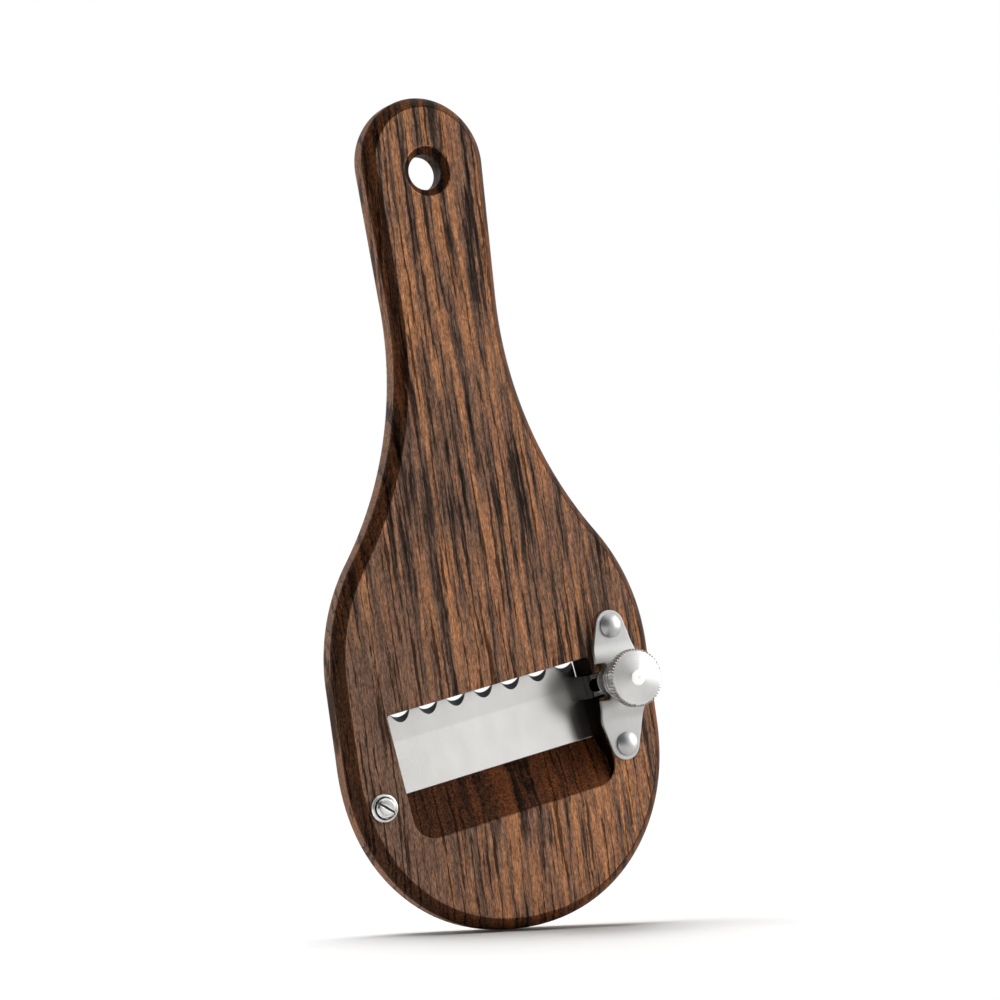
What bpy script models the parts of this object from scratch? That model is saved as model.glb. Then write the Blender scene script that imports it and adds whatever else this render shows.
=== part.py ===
"""Truffle slicer: a one-piece hardwood paddle with a scalloped steel blade in a slanted window.

The truffle is drawn down the back face, from the handle towards the base. It meets the scalloped
edge, and the slice comes out of the window at the front. The blade hangs on a screw at its left
end. At its right end it steps forward into a fork, which the neck of the knob's stud carries, so
turning the knob swings the blade and sets how far its edge stands out of the back face.

The frame: +Z runs up the handle, the front is -Y, and the origin is on the axis of the hanging
hole, in the plane of the back face. Heights in the sizes below are counted from the base.
"""

import math

import bmesh
import bpy
from mathutils import Matrix, Vector

MM = 0.001

# Fits and cuts
CLEARANCE = 0.3 * MM
OVERRUN = 2.0 * MM
MERGE_DISTANCE = 0.001 * MM

# Paddle
BOARD_LENGTH = 220.0 * MM
BOARD_WIDTH = 93.3 * MM
BOARD_THICKNESS = 9.5 * MM
EDGE_RADIUS = 3.0 * MM
HANDLE_END_RADIUS = 17.7 * MM
HANDLE_LENGTH = 54.4 * MM
HANDLE_TAPER = math.radians(2.48)
NECK_RADIUS = 101.5 * MM
SHOULDER_RADIUS = 52.3 * MM
SIDE_LENGTH = 21.0 * MM
BASE_EXPONENT = 0.946

# Hanging hole
HOLE_FROM_TOP = 20.0 * MM
HOLE_RADIUS = 4.7 * MM
COUNTERSINK_WIDTH = 2.2 * MM
FRONT_COUNTERSINK_DEPTH = 1.8 * MM
BACK_COUNTERSINK_DEPTH = 3.0 * MM

# Window
WINDOW_LEFT_MARGIN = 14.75 * MM
WINDOW_RIGHT_MARGIN = 17.35 * MM
WINDOW_WIDTH = BOARD_WIDTH - WINDOW_LEFT_MARGIN - WINDOW_RIGHT_MARGIN
WINDOW_X = (WINDOW_LEFT_MARGIN - WINDOW_RIGHT_MARGIN) / 2
WINDOW_HEIGHT = 33.8 * MM
WINDOW_CENTRE_HEIGHT = 47.0 * MM
WINDOW_TILT = math.radians(7.0)
RAMP_CORNER_RADIUS = 6.0 * MM
MOUTH_CORNER_RADIUS = 0.8 * MM
RAMP_STEP = 0.1 * MM
MOUTH_RELIEF_DEPTH = 4.5 * MM
MOUTH_RELIEF_RISE = 1.9 * MM

# Blade
BLADE_THICKNESS = 0.9 * MM
BLADE_WIDTH = 21.85 * MM
BLADE_TILT = math.radians(3.0)
BLADE_PROUD = 0.7 * MM
BLADE_END_GAP = 0.3 * MM
BLADE_SEAT_GAP = 0.15 * MM
MOUTH_GAP = 1.8 * MM
SCALLOP_COUNT = 7
SCALLOP_PITCH = 8.4 * MM
SCALLOP_MIDDLE = 2.6 * MM
SCALLOP_DEPTH = 2.2 * MM
SCALLOP_RADIUS = 4.1 * MM
GRIND_RADIUS = 4.8 * MM
GRIND_TILT = math.radians(60.0)
GRIND_LENGTH = 14.0 * MM
HEEL_WIDTH = 3.0 * MM
HEEL_RUN = 6.7 * MM
HEEL_DROP = 8.2 * MM
RECESS_CLEARANCE = 0.4 * MM

# Pivot at the blade's left end
PIVOT_FROM_WINDOW = 7.3 * MM
PIVOT_BELOW_EDGE = 0.95 * MM
LUG_RADIUS = 3.9 * MM
LUG_BLEND = 0.75 * MM
LUG_TOP_TURN = math.radians(70.0)
LUG_FOOT_TURN = math.radians(300.0)
SCREW_SHANK_RADIUS = 1.7 * MM
SCREW_HEAD_RADIUS = 2.7 * MM
SCREW_HEAD_HEIGHT = 1.05 * MM
SCREW_HEAD_CHAMFER = 0.25 * MM
SCREW_SLOT_WIDTH = 0.8 * MM
SCREW_SLOT_DEPTH = 0.75 * MM
SCREW_SLOT_ANGLE = math.radians(-37.0)
CUP_RADIUS = 3.75 * MM
CUP_HEIGHT = 0.7 * MM
CUP_BRIM = 0.25 * MM
CUP_RIM_WIDTH = 0.3 * MM
CUP_SLOPE_WIDTH = 0.35 * MM
NUT_RADIUS = 3.3 * MM
NUT_THICKNESS = 0.85 * MM
NUT_EDGE = 0.25 * MM
NUT_PROUD = 0.9 * MM

# Bracket
STUD_FROM_EDGE = 12.15 * MM
STUD_X = BOARD_WIDTH / 2 - STUD_FROM_EDGE
STUD_ABOVE_WINDOW = 13.3 * MM
STUD_HEIGHT = WINDOW_CENTRE_HEIGHT + STUD_ABOVE_WINDOW
BRACKET_BEND_ABOVE = 8.3 * MM
BRACKET_BEND_BELOW = 8.6 * MM
UPPER_RIVET_FROM_BEND = 6.2 * MM
LOWER_RIVET_FROM_BEND = 8.5 * MM
UPPER_RIVET_HEIGHT = STUD_HEIGHT + BRACKET_BEND_ABOVE + UPPER_RIVET_FROM_BEND
LOWER_RIVET_HEIGHT = STUD_HEIGHT - BRACKET_BEND_BELOW - LOWER_RIVET_FROM_BEND
RIVETS_FROM_STUD = 0.3 * MM
BRACKET_X = STUD_X - RIVETS_FROM_STUD
BRACKET_END_RADIUS = 4.25 * MM
UPPER_LOBE_SHIFT = 0.15 * MM
LOWER_LOBE_SHIFT = 0.5 * MM
BRACKET_LEFT_REACH = 9.0 * MM
BRACKET_RIGHT_REACH = 8.4 * MM
BRACKET_SIDE_RADIUS = 4.0 * MM
BRACKET_TRIM = 6.5 * MM
BRACKET_THICKNESS = 1.1 * MM
BRACKET_RAISE = 0.7 * MM
BRACKET_BEND_RUN = 2.4 * MM
NOTCH_HEIGHT = 9.8 * MM
NOTCH_DEPTH = 3.5 * MM
NOTCH_RADIUS = 1.0 * MM

# Rivets and the burrs that they are closed over
RIVET_SHANK_RADIUS = 1.5 * MM
RIVET_HEAD_RADIUS = 3.15 * MM
RIVET_HEAD_HEIGHT = 1.35 * MM
RIVET_TAIL_RADIUS = 2.3 * MM
RIVET_TAIL_HEIGHT = 0.45 * MM
BURR_RADIUS = 3.2 * MM
BURR_THICKNESS = 0.6 * MM

# Adjusting knob and its stud
STUD_RADIUS = 1.95 * MM
STUD_SOCKET_DEPTH = 5.5 * MM
STUD_SHOULDER_RADIUS = 2.9 * MM
STUD_SHOULDER_THICKNESS = 0.6 * MM
STUD_NECK_RADIUS = 1.5 * MM
STUD_FLANGE_RADIUS = 3.2 * MM
STUD_FLANGE_THICKNESS = 0.9 * MM
KNOB_TRAVEL = 1.6 * MM
WASHER_RADIUS = 4.75 * MM
WASHER_THICKNESS = 0.7 * MM
BORE_RADIUS = 5.3 * MM
COLLAR_RADIUS = 5.5 * MM
COLLAR_LENGTH = 6.0 * MM
COLLAR_CHAMFER = 0.3 * MM
KNURL_RADIUS = 7.7 * MM
KNURL_TOOTH_DEPTH = 0.45 * MM
KNURL_CORE_INSET = 0.3 * MM
KNURL_WIDTH = 2.5 * MM
KNURL_CHAMFER = 0.2 * MM
KNURL_TEETH = 54
KNOB_FACE_RISE = 0.75 * MM
KNOB_TIP_RADIUS = 2.1 * MM
KNOB_TIP_STEP = 0.12 * MM

# Fork
FORK_WIDTH = 6.1 * MM
FORK_REACH = 2.7 * MM
FORK_BEND_RADIUS = 1.2 * MM
FORK_EDGE_INSET = 0.1 * MM
FORK_SLOT_LENGTH = 8.0 * MM
CHANNEL_CLEARANCE = 0.3 * MM

# How finely round shapes are faceted
TURNED_STEPS = 48
SMALL_TURNED_STEPS = 32
SCALLOP_STEPS = 56
CORNER_STEPS = 6
BEND_STEPS = 5
END_ARC_STEPS = 14
NECK_ARC_STEPS = 12
SHOULDER_ARC_STEPS = 9
BASE_STEPS = 22
EDGE_BEVEL_RESOLUTION = 2

# Heights along the stud, counted forward from the wood's front face
PLATE_FOOT = CLEARANCE
PLATE_TOP = PLATE_FOOT + BRACKET_THICKNESS
BRIDGE_FOOT = PLATE_FOOT + BRACKET_RAISE
BRIDGE_TOP = PLATE_TOP + BRACKET_RAISE
COLLAR_FOOT = BRIDGE_TOP + CLEARANCE
KNURL_FOOT = COLLAR_FOOT + COLLAR_LENGTH
KNURL_TOP = KNURL_FOOT + KNURL_WIDTH
SHOULDER_TOP = BRIDGE_FOOT - KNOB_TRAVEL - CLEARANCE
SHOULDER_FOOT = SHOULDER_TOP - STUD_SHOULDER_THICKNESS
WASHER_TOP = SHOULDER_FOOT - CLEARANCE
WASHER_FOOT = WASHER_TOP - WASHER_THICKNESS
FORK_TOP = WASHER_FOOT - CLEARANCE
FORK_FOOT = FORK_TOP - BLADE_THICKNESS
FLANGE_TOP = FORK_FOOT - CLEARANCE
FLANGE_FOOT = FLANGE_TOP - STUD_FLANGE_THICKNESS
BORE_FLOOR = FLANGE_FOOT - 2 * CLEARANCE

FRONT = -BOARD_THICKNESS
FACING_FRONT = Matrix.Rotation(math.radians(90.0), 4, "X")


def board_place(x, y, height):
    """Place in the part's frame of a point of the board whose height is counted from the base."""
    return Vector((x, y, height - (BOARD_LENGTH - HOLE_FROM_TOP)))


WINDOW_FRAME = Matrix.Translation(board_place(WINDOW_X, 0, WINDOW_CENTRE_HEIGHT)) @ Matrix.Rotation(
    -WINDOW_TILT, 4, "Y"
)
SCALLOP_FLOOR = WINDOW_HEIGHT / 2 - MOUTH_GAP
BLADE_FRAME = (
    WINDOW_FRAME
    @ Matrix.Translation((0, BLADE_PROUD, SCALLOP_FLOOR))
    @ Matrix.Rotation(-BLADE_TILT, 4, "X")
)
BLADE_FOOT = SCALLOP_DEPTH - BLADE_WIDTH
BLADE_RIGHT = WINDOW_WIDTH / 2 - BLADE_END_GAP
PIVOT_U = -WINDOW_WIDTH / 2 - PIVOT_FROM_WINDOW
PIVOT_W = BLADE_FOOT - PIVOT_BELOW_EDGE


def stud_in_window():
    """The stud's place across and up the slanted window."""
    place = WINDOW_FRAME.inverted() @ board_place(STUD_X, 0, STUD_HEIGHT)
    return place.x, place.z


def clear_scene():
    for item in list(bpy.data.objects):
        bpy.data.objects.remove(item, do_unlink=True)


def new_collection(name):
    collection = bpy.data.collections.new(name)
    bpy.context.scene.collection.children.link(collection)
    return collection


def material(name, colour, roughness, metallic):
    made = bpy.data.materials.new(name)
    made.use_nodes = True
    shader = made.node_tree.nodes["Principled BSDF"]
    shader.inputs["Base Color"].default_value = (*colour, 1.0)
    shader.inputs["Roughness"].default_value = roughness
    shader.inputs["Metallic"].default_value = metallic
    return made


def link(name, data, matrix, collection):
    made = bpy.data.objects.new(name, data)
    made.matrix_world = matrix
    collection.objects.link(made)
    return made


def as_cutter(piece):
    piece.hide_render = True
    piece.display_type = "WIRE"
    return piece


def finish_mesh(mesh, sharp_angle=math.radians(30.0)):
    mesh.shade_smooth()
    mesh.set_sharp_from_angle(angle=sharp_angle)


def arc(centre, radius, start, end, steps):
    """Points of an arc, both ends included."""
    turns = [start + (end - start) * i / steps for i in range(steps + 1)]
    return [(centre[0] + radius * math.cos(a), centre[1] + radius * math.sin(a)) for a in turns]


def prism(name, points, thickness, matrix, collection, bevel=0.0, grow=0.0):
    """A flat outline with its thickness centred on its own plane, as a closed mesh."""
    curve = bpy.data.curves.new(name, "CURVE")
    curve.dimensions = "2D"
    curve.fill_mode = "BOTH"
    curve.extrude = thickness / 2 - bevel
    curve.bevel_depth = bevel
    curve.bevel_resolution = EDGE_BEVEL_RESOLUTION
    curve.offset = grow - bevel
    spline = curve.splines.new("POLY")
    spline.points.add(len(points) - 1)
    for point, place in zip(spline.points, points):
        point.co = (place[0], place[1], 0, 1)
    spline.use_cyclic_u = True
    drawn = link(name + "_outline", curve, Matrix.Identity(4), collection)
    graph = bpy.context.evaluated_depsgraph_get()
    mesh = bpy.data.meshes.new_from_object(drawn.evaluated_get(graph))
    bpy.data.objects.remove(drawn, do_unlink=True)
    mesh.name = name
    welded = bmesh.new()
    welded.from_mesh(mesh)
    bmesh.ops.remove_doubles(welded, verts=welded.verts, dist=MERGE_DISTANCE)
    bmesh.ops.recalc_face_normals(welded, faces=welded.faces)
    welded.to_mesh(mesh)
    welded.free()
    finish_mesh(mesh)
    return link(name, mesh, matrix, collection)


def turned(name, profile, matrix, collection, steps=TURNED_STEPS, closed=False):
    """A profile of (radius, height) pairs turned about its own Z, top to bottom on the outside."""
    shape = bmesh.new()
    corners = [shape.verts.new((radius, 0, height)) for radius, height in profile]
    pairs = list(zip(corners, corners[1:]))
    if closed:
        pairs.append((corners[-1], corners[0]))
    for pair in pairs:
        shape.edges.new(pair)
    mesh = bpy.data.meshes.new(name)
    shape.to_mesh(mesh)
    shape.free()
    made = link(name, mesh, matrix, collection)
    screw = made.modifiers.new("Turn", "SCREW")
    screw.steps = steps
    screw.render_steps = steps
    screw.use_merge_vertices = True
    screw.merge_threshold = MERGE_DISTANCE
    screw.use_smooth_shade = True
    return made


def cylinder(name, radius, low, high, matrix, collection, steps=TURNED_STEPS):
    """A cylinder along its own Z, from low to high."""
    profile = [(0, high), (radius, high), (radius, low), (0, low)]
    return turned(name, profile, matrix, collection, steps)


def box(name, lowest, highest, matrix, collection):
    shape = bmesh.new()
    bmesh.ops.create_cube(shape, size=1)
    size = [high - low for low, high in zip(lowest, highest)]
    middle = [(high + low) / 2 for low, high in zip(lowest, highest)]
    bmesh.ops.scale(shape, vec=size, verts=shape.verts)
    bmesh.ops.translate(shape, vec=middle, verts=shape.verts)
    mesh = bpy.data.meshes.new(name)
    shape.to_mesh(mesh)
    shape.free()
    return link(name, mesh, matrix, collection)


def ribbon(name, path, width, thickness, matrix, collection):
    """A bent strip: a path of (across, forward) pairs, drawn out along its own Z and thickened."""
    shape = bmesh.new()
    lower = [shape.verts.new((across, forward, -width / 2)) for across, forward in path]
    upper = [shape.verts.new((across, forward, width / 2)) for across, forward in path]
    for i in range(len(path) - 1):
        shape.faces.new((lower[i], lower[i + 1], upper[i + 1], upper[i]))
    mesh = bpy.data.meshes.new(name)
    shape.to_mesh(mesh)
    shape.free()
    made = link(name, mesh, matrix, collection)
    wall = made.modifiers.new("Thickness", "SOLIDIFY")
    wall.thickness = thickness
    wall.offset = 0
    wall.use_even_offset = True
    return made


def hull_prism(name, circles, low, high, matrix, collection):
    """The convex outline round circles of (x, y, radius), drawn out along its own Z."""
    shape = bmesh.new()
    for x, y, radius in circles:
        for across, up in arc((x, y), radius, 0, math.tau, SMALL_TURNED_STEPS)[:-1]:
            shape.verts.new((across, up, low))
            shape.verts.new((across, up, high))
    hull = bmesh.ops.convex_hull(shape, input=shape.verts)
    spare = {item for item in hull["geom_interior"] if isinstance(item, bmesh.types.BMVert)}
    bmesh.ops.delete(shape, geom=list(spare), context="VERTS")
    bmesh.ops.recalc_face_normals(shape, faces=shape.faces)
    mesh = bpy.data.meshes.new(name)
    shape.to_mesh(mesh)
    shape.free()
    return link(name, mesh, matrix, collection)


def combine(piece, other, operation):
    """Adds a Boolean to a piece, and keeps the other shape as a cutter."""
    change = piece.modifiers.new(operation.title(), "BOOLEAN")
    change.operation = operation
    change.solver = "EXACT"
    change.object = as_cutter(other)


def rounded_window(grow=0.0):
    """The window's outline, round at the ramp's corners and nearly sharp at the mouth."""
    half_width = WINDOW_WIDTH / 2
    half_height = WINDOW_HEIGHT / 2
    low = RAMP_CORNER_RADIUS
    top = MOUTH_CORNER_RADIUS
    right_angle = math.pi / 2
    corners = (
        (half_width - low, low - half_height, low, -right_angle),
        (half_width - top, half_height - top, top, 0),
        (top - half_width, half_height - top, top, right_angle),
        (low - half_width, low - half_height, low, math.pi),
    )
    points = []
    for x, y, radius, start in corners:
        points += arc((x, y), radius + grow, start, start + right_angle, CORNER_STEPS)
    return points


def board_half_outline():
    """Right half of the board, from the middle of the handle's end to the middle of the base."""
    half_width = BOARD_WIDTH / 2
    points = arc((0, BOARD_LENGTH - HANDLE_END_RADIUS), HANDLE_END_RADIUS, math.pi / 2, -HANDLE_TAPER,
                 END_ARC_STEPS)
    side_x, side_height = points[-1]
    neck_height = BOARD_LENGTH - HANDLE_LENGTH
    neck_x = side_x - (side_height - neck_height) * math.tan(HANDLE_TAPER)
    lean = math.acos(
        (NECK_RADIUS * math.cos(HANDLE_TAPER) + SHOULDER_RADIUS - (half_width - neck_x))
        / (NECK_RADIUS + SHOULDER_RADIUS)
    )
    neck_centre = (
        neck_x + NECK_RADIUS * math.cos(HANDLE_TAPER),
        neck_height - NECK_RADIUS * math.sin(HANDLE_TAPER),
    )
    points += arc(neck_centre, NECK_RADIUS, math.pi - HANDLE_TAPER, math.pi + lean, NECK_ARC_STEPS)
    shoulder_x, shoulder_height = points[-1]
    shoulder_centre = (
        shoulder_x - SHOULDER_RADIUS * math.cos(lean),
        shoulder_height - SHOULDER_RADIUS * math.sin(lean),
    )
    points += arc(shoulder_centre, SHOULDER_RADIUS, lean, 0, SHOULDER_ARC_STEPS)[1:]
    belly_height = points[-1][1] - SIDE_LENGTH
    points.append((half_width, belly_height))
    for i in range(1, BASE_STEPS + 1):
        turn = math.pi / 2 * i / BASE_STEPS
        across = half_width * max(math.cos(turn), 0) ** BASE_EXPONENT
        height = belly_height * (1 - math.sin(turn) ** BASE_EXPONENT)
        points.append((across, height))
    points[-1] = (0, 0)
    return points


def board_outline():
    half = board_half_outline()
    mirrored = [(-x, height) for x, height in half[-2:0:-1]]
    return half + mirrored


def window_cutter(cutters):
    """The window's section, with its ramp, drawn across and rounded to the window's outline."""
    foot = BLADE_FRAME @ Vector((0, -BLADE_THICKNESS, BLADE_FOOT))
    foot = WINDOW_FRAME.inverted() @ foot
    half_height = WINDOW_HEIGHT / 2
    lip = foot.z - BLADE_SEAT_GAP
    lip_depth = foot.y + RAMP_STEP
    slope = (lip_depth - FRONT) / (lip + half_height)
    section = [
        (-half_height - OVERRUN, FRONT - slope * OVERRUN),
        (lip, lip_depth),
        (lip, OVERRUN),
        (half_height + OVERRUN, OVERRUN),
        (half_height + OVERRUN, FRONT - slope * OVERRUN - OVERRUN),
        (-half_height - OVERRUN, FRONT - slope * OVERRUN - OVERRUN),
    ]
    sideways = Matrix(((0, 0, 1, 0), (0, 1, 0, 0), (1, 0, 0, 0), (0, 0, 0, 1)))
    sideways = sideways @ Matrix.Diagonal((1, 1, -1, 1))
    drawn = prism("window_section", section, WINDOW_WIDTH + 2 * OVERRUN, WINDOW_FRAME @ sideways, cutters)
    outline = prism(
        "window_outline",
        rounded_window(),
        4 * BOARD_THICKNESS,
        WINDOW_FRAME @ FACING_FRONT,
        cutters,
    )
    combine(drawn, outline, "INTERSECT")
    return drawn


def relief_cutter(cutters):
    """The wedge that opens the mouth towards the back, so the blade's points swing clear."""
    half_height = WINDOW_HEIGHT / 2
    slope = MOUTH_RELIEF_RISE / MOUTH_RELIEF_DEPTH
    section = [
        (half_height - OVERRUN, -MOUTH_RELIEF_DEPTH - OVERRUN / slope),
        (half_height - OVERRUN, OVERRUN),
        (half_height + MOUTH_RELIEF_RISE + slope * OVERRUN, OVERRUN),
    ]
    sideways = Matrix(((0, 0, 1, 0), (0, 1, 0, 0), (1, 0, 0, 0), (0, 0, 0, 1)))
    sideways = sideways @ Matrix.Diagonal((1, 1, -1, 1))
    width = WINDOW_WIDTH - 2 * (BLADE_END_GAP + MOUTH_CORNER_RADIUS)
    return prism("mouth_relief", section, width, WINDOW_FRAME @ sideways, cutters)


def blade_outline():
    """The blade flat, across and up from the middle of the scallops' floor, lug at the left."""
    left = -WINDOW_WIDTH / 2 - HEEL_WIDTH
    points = [(BLADE_RIGHT, BLADE_FOOT), (BLADE_RIGHT, SCALLOP_DEPTH)]
    points += [(left + HEEL_RUN, SCALLOP_DEPTH), (left, SCALLOP_DEPTH - HEEL_DROP)]
    points += arc((PIVOT_U, PIVOT_W), LUG_RADIUS, LUG_TOP_TURN, LUG_FOOT_TURN, 3 * CORNER_STEPS)
    points.append((-WINDOW_WIDTH / 2 - LUG_BLEND, BLADE_FOOT))
    return points[::-1]


def recess_cutter(cutters):
    """The bed milled from the back for the blade's left end and its lug."""
    depth = BLADE_THICKNESS + RECESS_CLEARANCE
    height = depth + BOARD_THICKNESS
    middle = Matrix.Translation((0, height / 2 - depth, 0))
    place = BLADE_FRAME @ middle @ FACING_FRONT
    end = prism("blade_recess", blade_outline(), height, place, cutters, grow=RECESS_CLEARANCE)
    reach = WINDOW_WIDTH
    low = (-WINDOW_WIDTH / 2 - reach, -BOARD_THICKNESS, -reach)
    high = (-WINDOW_WIDTH / 2 + OVERRUN, BOARD_THICKNESS, reach)
    combine(end, box("recess_end", low, high, WINDOW_FRAME, cutters), "INTERSECT")
    return end


def front_place(x, height):
    """A frame on the front face of the wood, its Z pointing forward."""
    return Matrix.Translation(board_place(x, FRONT, height)) @ FACING_FRONT


def pivot_place():
    """A frame on the front face over the pivot, its Z pointing forward."""
    in_window = WINDOW_FRAME.inverted() @ BLADE_FRAME @ Vector((PIVOT_U, 0, PIVOT_W))
    centre = WINDOW_FRAME @ Vector((in_window.x, 0, in_window.z))
    return Matrix.Translation((centre.x, FRONT, centre.z)) @ FACING_FRONT


def hanging_hole_cutters(cutters):
    place = front_place(0, BOARD_LENGTH - HOLE_FROM_TOP)
    wide = HOLE_RADIUS + COUNTERSINK_WIDTH
    front_slope = COUNTERSINK_WIDTH / FRONT_COUNTERSINK_DEPTH
    back_slope = COUNTERSINK_WIDTH / BACK_COUNTERSINK_DEPTH
    back = -BOARD_THICKNESS
    profile = [
        (0, OVERRUN),
        (wide + front_slope * OVERRUN, OVERRUN),
        (HOLE_RADIUS, -FRONT_COUNTERSINK_DEPTH),
        (HOLE_RADIUS, back + BACK_COUNTERSINK_DEPTH),
        (wide + back_slope * OVERRUN, back - OVERRUN),
        (0, back - OVERRUN),
    ]
    return [turned("hanging_hole", profile, place, cutters, TURNED_STEPS)]


def stud_bore_cutters(cutters):
    place = front_place(STUD_X, STUD_HEIGHT)
    bore = cylinder("stud_bore", BORE_RADIUS, BORE_FLOOR, OVERRUN, place, cutters)
    stud_u, stud_v = stud_in_window()
    half = FORK_WIDTH / 2 + CHANNEL_CLEARANCE
    low = (WINDOW_WIDTH / 2 - OVERRUN, FRONT - OVERRUN, stud_v - half)
    high = (stud_u, FRONT - FORK_FOOT + 2 * CLEARANCE, stud_v + half)
    return [bore, box("fork_channel", low, high, WINDOW_FRAME, cutters)]


def fastener_cutters(cutters):
    shank = SCREW_SHANK_RADIUS + CLEARANCE
    through = -BOARD_THICKNESS - OVERRUN
    made = [cylinder("pivot_hole", shank, through, OVERRUN, pivot_place(), cutters, SMALL_TURNED_STEPS)]
    seat = -BOARD_THICKNESS + RIVET_TAIL_HEIGHT + BURR_THICKNESS + 2 * CLEARANCE
    radius = RIVET_SHANK_RADIUS + CLEARANCE
    wide = BURR_RADIUS + CLEARANCE
    profile = [(0, OVERRUN), (radius, OVERRUN), (radius, seat), (wide, seat), (wide, through), (0, through)]
    for end, height in (("upper", UPPER_RIVET_HEIGHT), ("lower", LOWER_RIVET_HEIGHT)):
        place = front_place(BRACKET_X, height)
        made.append(turned(end + "_rivet_hole", profile, place, cutters, SMALL_TURNED_STEPS))
    return made


def build_wooden_body(parts, cutters, wood):
    lift = Matrix.Translation(board_place(0, FRONT / 2, 0))
    body = prism("wooden_body", board_outline(), BOARD_THICKNESS, lift @ FACING_FRONT, parts, EDGE_RADIUS)
    shapes = [window_cutter(cutters), relief_cutter(cutters), recess_cutter(cutters)]
    shapes += hanging_hole_cutters(cutters) + stud_bore_cutters(cutters) + fastener_cutters(cutters)
    for shape in shapes:
        combine(body, shape, "DIFFERENCE")
    body.data.materials.append(wood)
    return body


def scallop_cutters(cutters):
    """For each scallop a round bite through the edge, and a slanted grind that bevels its front."""
    slanted = Matrix.Rotation(math.radians(90.0) + GRIND_TILT, 4, "X")
    grind_rise = GRIND_RADIUS / math.cos(GRIND_TILT)
    made = []
    for i in range(SCALLOP_COUNT):
        across = SCALLOP_MIDDLE + (i - (SCALLOP_COUNT - 1) / 2) * SCALLOP_PITCH
        bite = BLADE_FRAME @ Matrix.Translation((across, 0, SCALLOP_RADIUS)) @ FACING_FRONT
        grind = BLADE_FRAME @ Matrix.Translation((across, 0, grind_rise)) @ slanted
        number = str(i + 1)
        made.append(
            cylinder("bite_" + number, SCALLOP_RADIUS, -OVERRUN, OVERRUN, bite, cutters, SCALLOP_STEPS)
        )
        made.append(
            cylinder("grind_" + number, GRIND_RADIUS, -GRIND_LENGTH, GRIND_LENGTH, grind, cutters,
                     SCALLOP_STEPS)
        )
    return made


def fork_path():
    """Across and forward: up from the blade's right edge, then across to past the stud."""
    stud_u, _ = stud_in_window()
    across = BLADE_RIGHT - FORK_EDGE_INSET - BLADE_THICKNESS / 2
    forward = FRONT - (FORK_TOP + FORK_FOOT) / 2
    foot = BLADE_FRAME @ Vector((0, -BLADE_THICKNESS / 2, stud_in_window()[1] - SCALLOP_FLOOR))
    centre = (across + FORK_BEND_RADIUS, forward + FORK_BEND_RADIUS)
    bend = arc(centre, FORK_BEND_RADIUS, math.pi, 1.5 * math.pi, BEND_STEPS)
    return [(across, foot.y)] + bend + [(stud_u + FORK_REACH, forward)]


def build_fork(cutters):
    """The blade's stepped end, a strip with a slot open to the right for the stud's neck."""
    stud_u, stud_v = stud_in_window()
    lift = WINDOW_FRAME @ Matrix.Translation((0, 0, stud_v))
    strip = ribbon("fork_strip", fork_path(), FORK_WIDTH, BLADE_THICKNESS, lift, cutters)
    half = STUD_NECK_RADIUS + CLEARANCE
    circles = [(stud_u + FORK_SLOT_LENGTH, stud_v, half), (stud_u - FORK_SLOT_LENGTH / 2, stud_v, half)]
    upright = WINDOW_FRAME @ Matrix.Translation((0, FRONT, 0)) @ FACING_FRONT
    slot = hull_prism("fork_slot", circles, FORK_FOOT - CLEARANCE, FORK_TOP + CLEARANCE, upright, cutters)
    combine(strip, slot, "DIFFERENCE")
    return strip


def build_blade(parts, cutters, steel, hinge):
    middle = Matrix.Translation((0, -BLADE_THICKNESS / 2, 0))
    blade = prism("blade", blade_outline(), BLADE_THICKNESS, BLADE_FRAME @ middle @ FACING_FRONT, parts)
    hole = cylinder("lug_hole", SCREW_SHANK_RADIUS + CLEARANCE, -2 * BOARD_THICKNESS, OVERRUN, pivot_place(),
                    cutters, SMALL_TURNED_STEPS)
    for shape in [hole] + scallop_cutters(cutters):
        combine(blade, shape, "DIFFERENCE")
    combine(blade, build_fork(cutters), "UNION")
    blade.data.materials.append(steel)
    hang_on(blade, hinge)
    return blade


def hang_on(piece, empty):
    """Parents a piece to an empty and leaves it where it is."""
    bpy.context.view_layer.update()
    world = piece.matrix_world.copy()
    piece.parent = empty
    piece.matrix_parent_inverse = empty.matrix_world.inverted()
    piece.matrix_world = world


def new_empty(name, matrix, collection):
    empty = bpy.data.objects.new(name, None)
    empty.matrix_world = matrix
    collection.objects.link(empty)
    return empty


def build_screw_cup(parts, steel):
    inner_top = CUP_RADIUS - CUP_RIM_WIDTH - CUP_SLOPE_WIDTH
    foot = CLEARANCE
    top = foot + CUP_HEIGHT
    profile = [
        (inner_top, top),
        (CUP_RADIUS - CUP_SLOPE_WIDTH, top),
        (CUP_RADIUS, foot + CUP_BRIM),
        (CUP_RADIUS, foot),
        (inner_top - CUP_HEIGHT, foot),
    ]
    cup = turned("screw_cup", profile, pivot_place(), parts, TURNED_STEPS, closed=True)
    cup.data.materials.append(steel)
    return cup


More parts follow.
